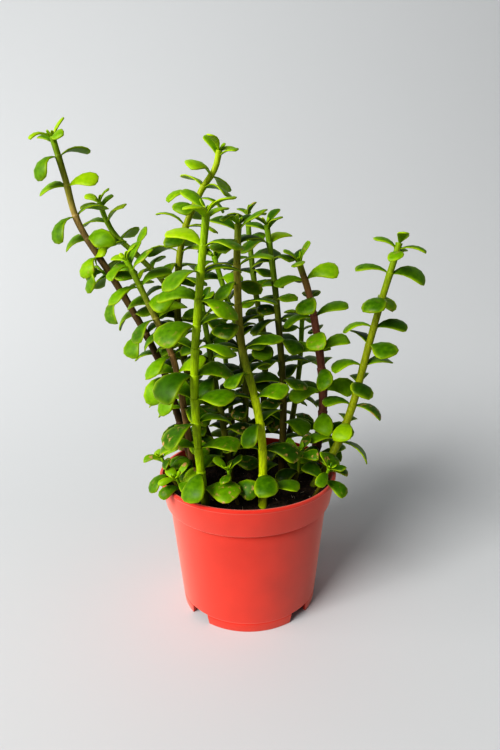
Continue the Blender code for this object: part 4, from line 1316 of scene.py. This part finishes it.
def makeSoil():  # a turned body that fills the pot, its top raised into lumps
    p, gap, top = potShape, soilShape["gap"], soilShape["top"]
    inset = p["wall"] + gap
    ledge = p["height"] - p["collarHeight"] + inset
    bottom = p["plateTop"] + gap
    edge, rings = soilEdge(), soilShape["rings"]
    outline = [(edge * ring / rings, top) for ring in range(rings + 1)]
    outline += [
        (p["collarFootRadius"] - inset, ledge),
        (p["bodyTopRadius"] - inset, ledge),
        (bodyRadius(bottom) - inset - 2 * p["round"], bottom),
        (0.0, bottom),
    ]
    soil = turnedBody("peat", outline, soilShape["around"])
    for vertex in soil.data.vertices:
        if abs(vertex.co.z - top) < soilShape["flatness"]:
            vertex.co.z = soilTopAt(vertex.co.x, vertex.co.y)
    soil.data.shade_smooth()
    soil.data.materials.append(shadedMaterial("damp peat", soilLook))
    scatterBase = newObject("scatter base", [])
    shape = bmesh.new()
    shape.from_mesh(soil.data)
    surface = top - soilShape["surfaceDepth"]
    low = [face for face in shape.faces if face.calc_center_median().z < surface]
    bmesh.ops.delete(shape, geom=low, context="FACES")
    shape.to_mesh(scatterBase.data)
    shape.free()
    handOver(soil, "soil", "soil")
    return scatterBase, soil.data.materials[0]


def bitsTree(material, sizes):  # small rough lumps strewn on a surface
    tree, add, given = newTree("strewn bits", sizes)
    strewn = {"Mesh": given["Geometry"], "Density": given["Density"], "Seed": given["Seed"]}
    spread = add("GeometryNodeDistributePointsOnFaces", strewn)
    lump = add("GeometryNodeMeshIcoSphere", {"Radius": 1.0, "Subdivisions": 1})
    anyTurn = {0: (0.0,) * 3, 1: (bitForm["turn"],) * 3, "Seed": given["Seed"]}
    turn = add("FunctionNodeRandomValue", anyTurn, data_type="FLOAT_VECTOR").outputs[0]
    anyForm = {0: bitForm["least"], 1: bitForm["most"], "Seed": bitForm["seed"]}
    form = add("FunctionNodeRandomValue", anyForm, data_type="FLOAT_VECTOR").outputs[0]
    anyShare = {2: 0.0, 3: 1.0, "Seed": given["Seed"]}
    share = add("FunctionNodeRandomValue", anyShare, data_type="FLOAT").outputs[1]
    few = add("Math", {0: share, 1: bitForm["fewPower"]}, operation="POWER")
    span = {"Value": few, "To Min": given["Smallest"], "To Max": given["Largest"]}
    size = add("MapRange", span)
    longer = add("CombineXYZ", {"X": given["Stretch"], "Y": 1.0, "Z": 1.0})
    drawn = add("VectorMath", {0: form, 1: longer}, operation="MULTIPLY")
    scaled = add("VectorMath", {0: drawn, "Scale": size.outputs[0]}, operation="SCALE")
    stood = {"Points": spread, "Instance": lump, "Rotation": turn, "Scale": scaled}
    placed = add("GeometryNodeInstanceOnPoints", stood)
    real = add("GeometryNodeRealizeInstances", {"Geometry": placed})
    rough = add("TexNoise", {"Scale": 1 / bitForm["dentWidth"], "Detail": 1.0}).outputs["Color"]
    centred = add("VectorMath", {0: rough, 1: (0.5, 0.5, 0.5)}, operation="SUBTRACT")
    dent = add("VectorMath", {0: centred, "Scale": bitForm["dent"]}, operation="SCALE")
    dented = add("GeometryNodeSetPosition", {"Geometry": real, "Offset": dent})
    return endTree(tree, dented, material)


def strewBits(base, name, slot, material):
    obj = newObject(name, [])
    obj.data = base.data.copy()
    sizes = dict(zip(bitSizes, looseBits[name]))
    runTree(obj, bitsTree(material, sizes), sizes)
    dropAttributes(obj.data, ())
    handOver(obj, slot, "soil")


scatterBase, peat = makeSoil()
grit = shadedMaterial("pale grit", gritLook)
strewBits(scatterBase, "peat_crumbs", "soil", peat)
strewBits(scatterBase, "grit_grains", "grit", grit)
strewBits(scatterBase, "dry_scraps", "grit", grit)
bpy.data.objects.remove(scatterBase, do_unlink=True)
print("soil made")


# Floor and backdrop: one seamless sheet of matt paper, swept up behind the plant


backdrop = {
    "front": 1.2,
    "behind": 0.12,
    "sweep": 1.5,
    "sweepSteps": 24,
    "height": 3.0,
    "halfWidth": 2.4,
    "paper": "#C3C4C4",
    "roughness": 0.9,
}


def makeBackdrop(look):
    behind, sweep, steps, half = look["behind"], look["sweep"], look["sweepSteps"], look["halfWidth"]
    outline = [(-look["front"], 0.0), (behind, 0.0)]
    for i in range(1, steps + 1):
        angle = math.radians(90 * i / steps)
        outline.append((behind + sweep * math.sin(angle), sweep * (1 - math.cos(angle))))
    outline.append((behind + sweep, look["height"]))
    vertices = [(side * half, y, z) for y, z in outline for side in (-1, 1)]
    faces = [(2 * i, 2 * i + 1, 2 * i + 3, 2 * i + 2) for i in range(len(outline) - 1)]
    floor = newObject("backdrop", vertices, (), faces)
    floor.data.shade_smooth()
    paper = {"Base Color": linear(look["paper"]), "Roughness": look["roughness"]}
    floor.data.materials.append(endMaterial(newMaterial("matt paper", {})[0], paper))


makeBackdrop(backdrop)


# Light: a large soft window at the upper left, and the pale room round it


lights = {
    "window": {
        "place": (-2.10, -2.20, 2.24),
        "aim": (0.0, -0.1, 0.06),
        "size": 2.0,
        "spread": 140,
        "power": 88.0,
    },
    "side": {
        "place": (-1.7, -0.5, 0.7),
        "aim": (0.0, 0.0, 0.1),
        "size": 1.2,
        "spread": 180,
        "power": 10.0,
    },
}
room = {"colour": "#EEF1F4", "strength": 0.26}


def makeLights():
    for name, light in lights.items():
        data = bpy.data.lights.new(name, "AREA")
        data.shape = "RECTANGLE"
        data.size = data.size_y = light["size"]
        data.spread = math.radians(light["spread"])
        data.energy = light["power"]
        obj = bpy.data.objects.new(name, data)
        scene.collection.objects.link(obj)
        place = Vector(light["place"])
        turn = (Vector(light["aim"]) - place).to_track_quat("-Z", "Y").to_matrix().to_4x4()
        obj.matrix_world = Matrix.Translation(place) @ turn
    world = bpy.data.worlds.new("room")
    world.use_nodes = True
    background = world.node_tree.nodes["Background"]
    background.inputs["Color"].default_value = linear(room["colour"])
    background.inputs["Strength"].default_value = room["strength"]
    scene.world = world


makeLights()
print("backdrop and lights made")
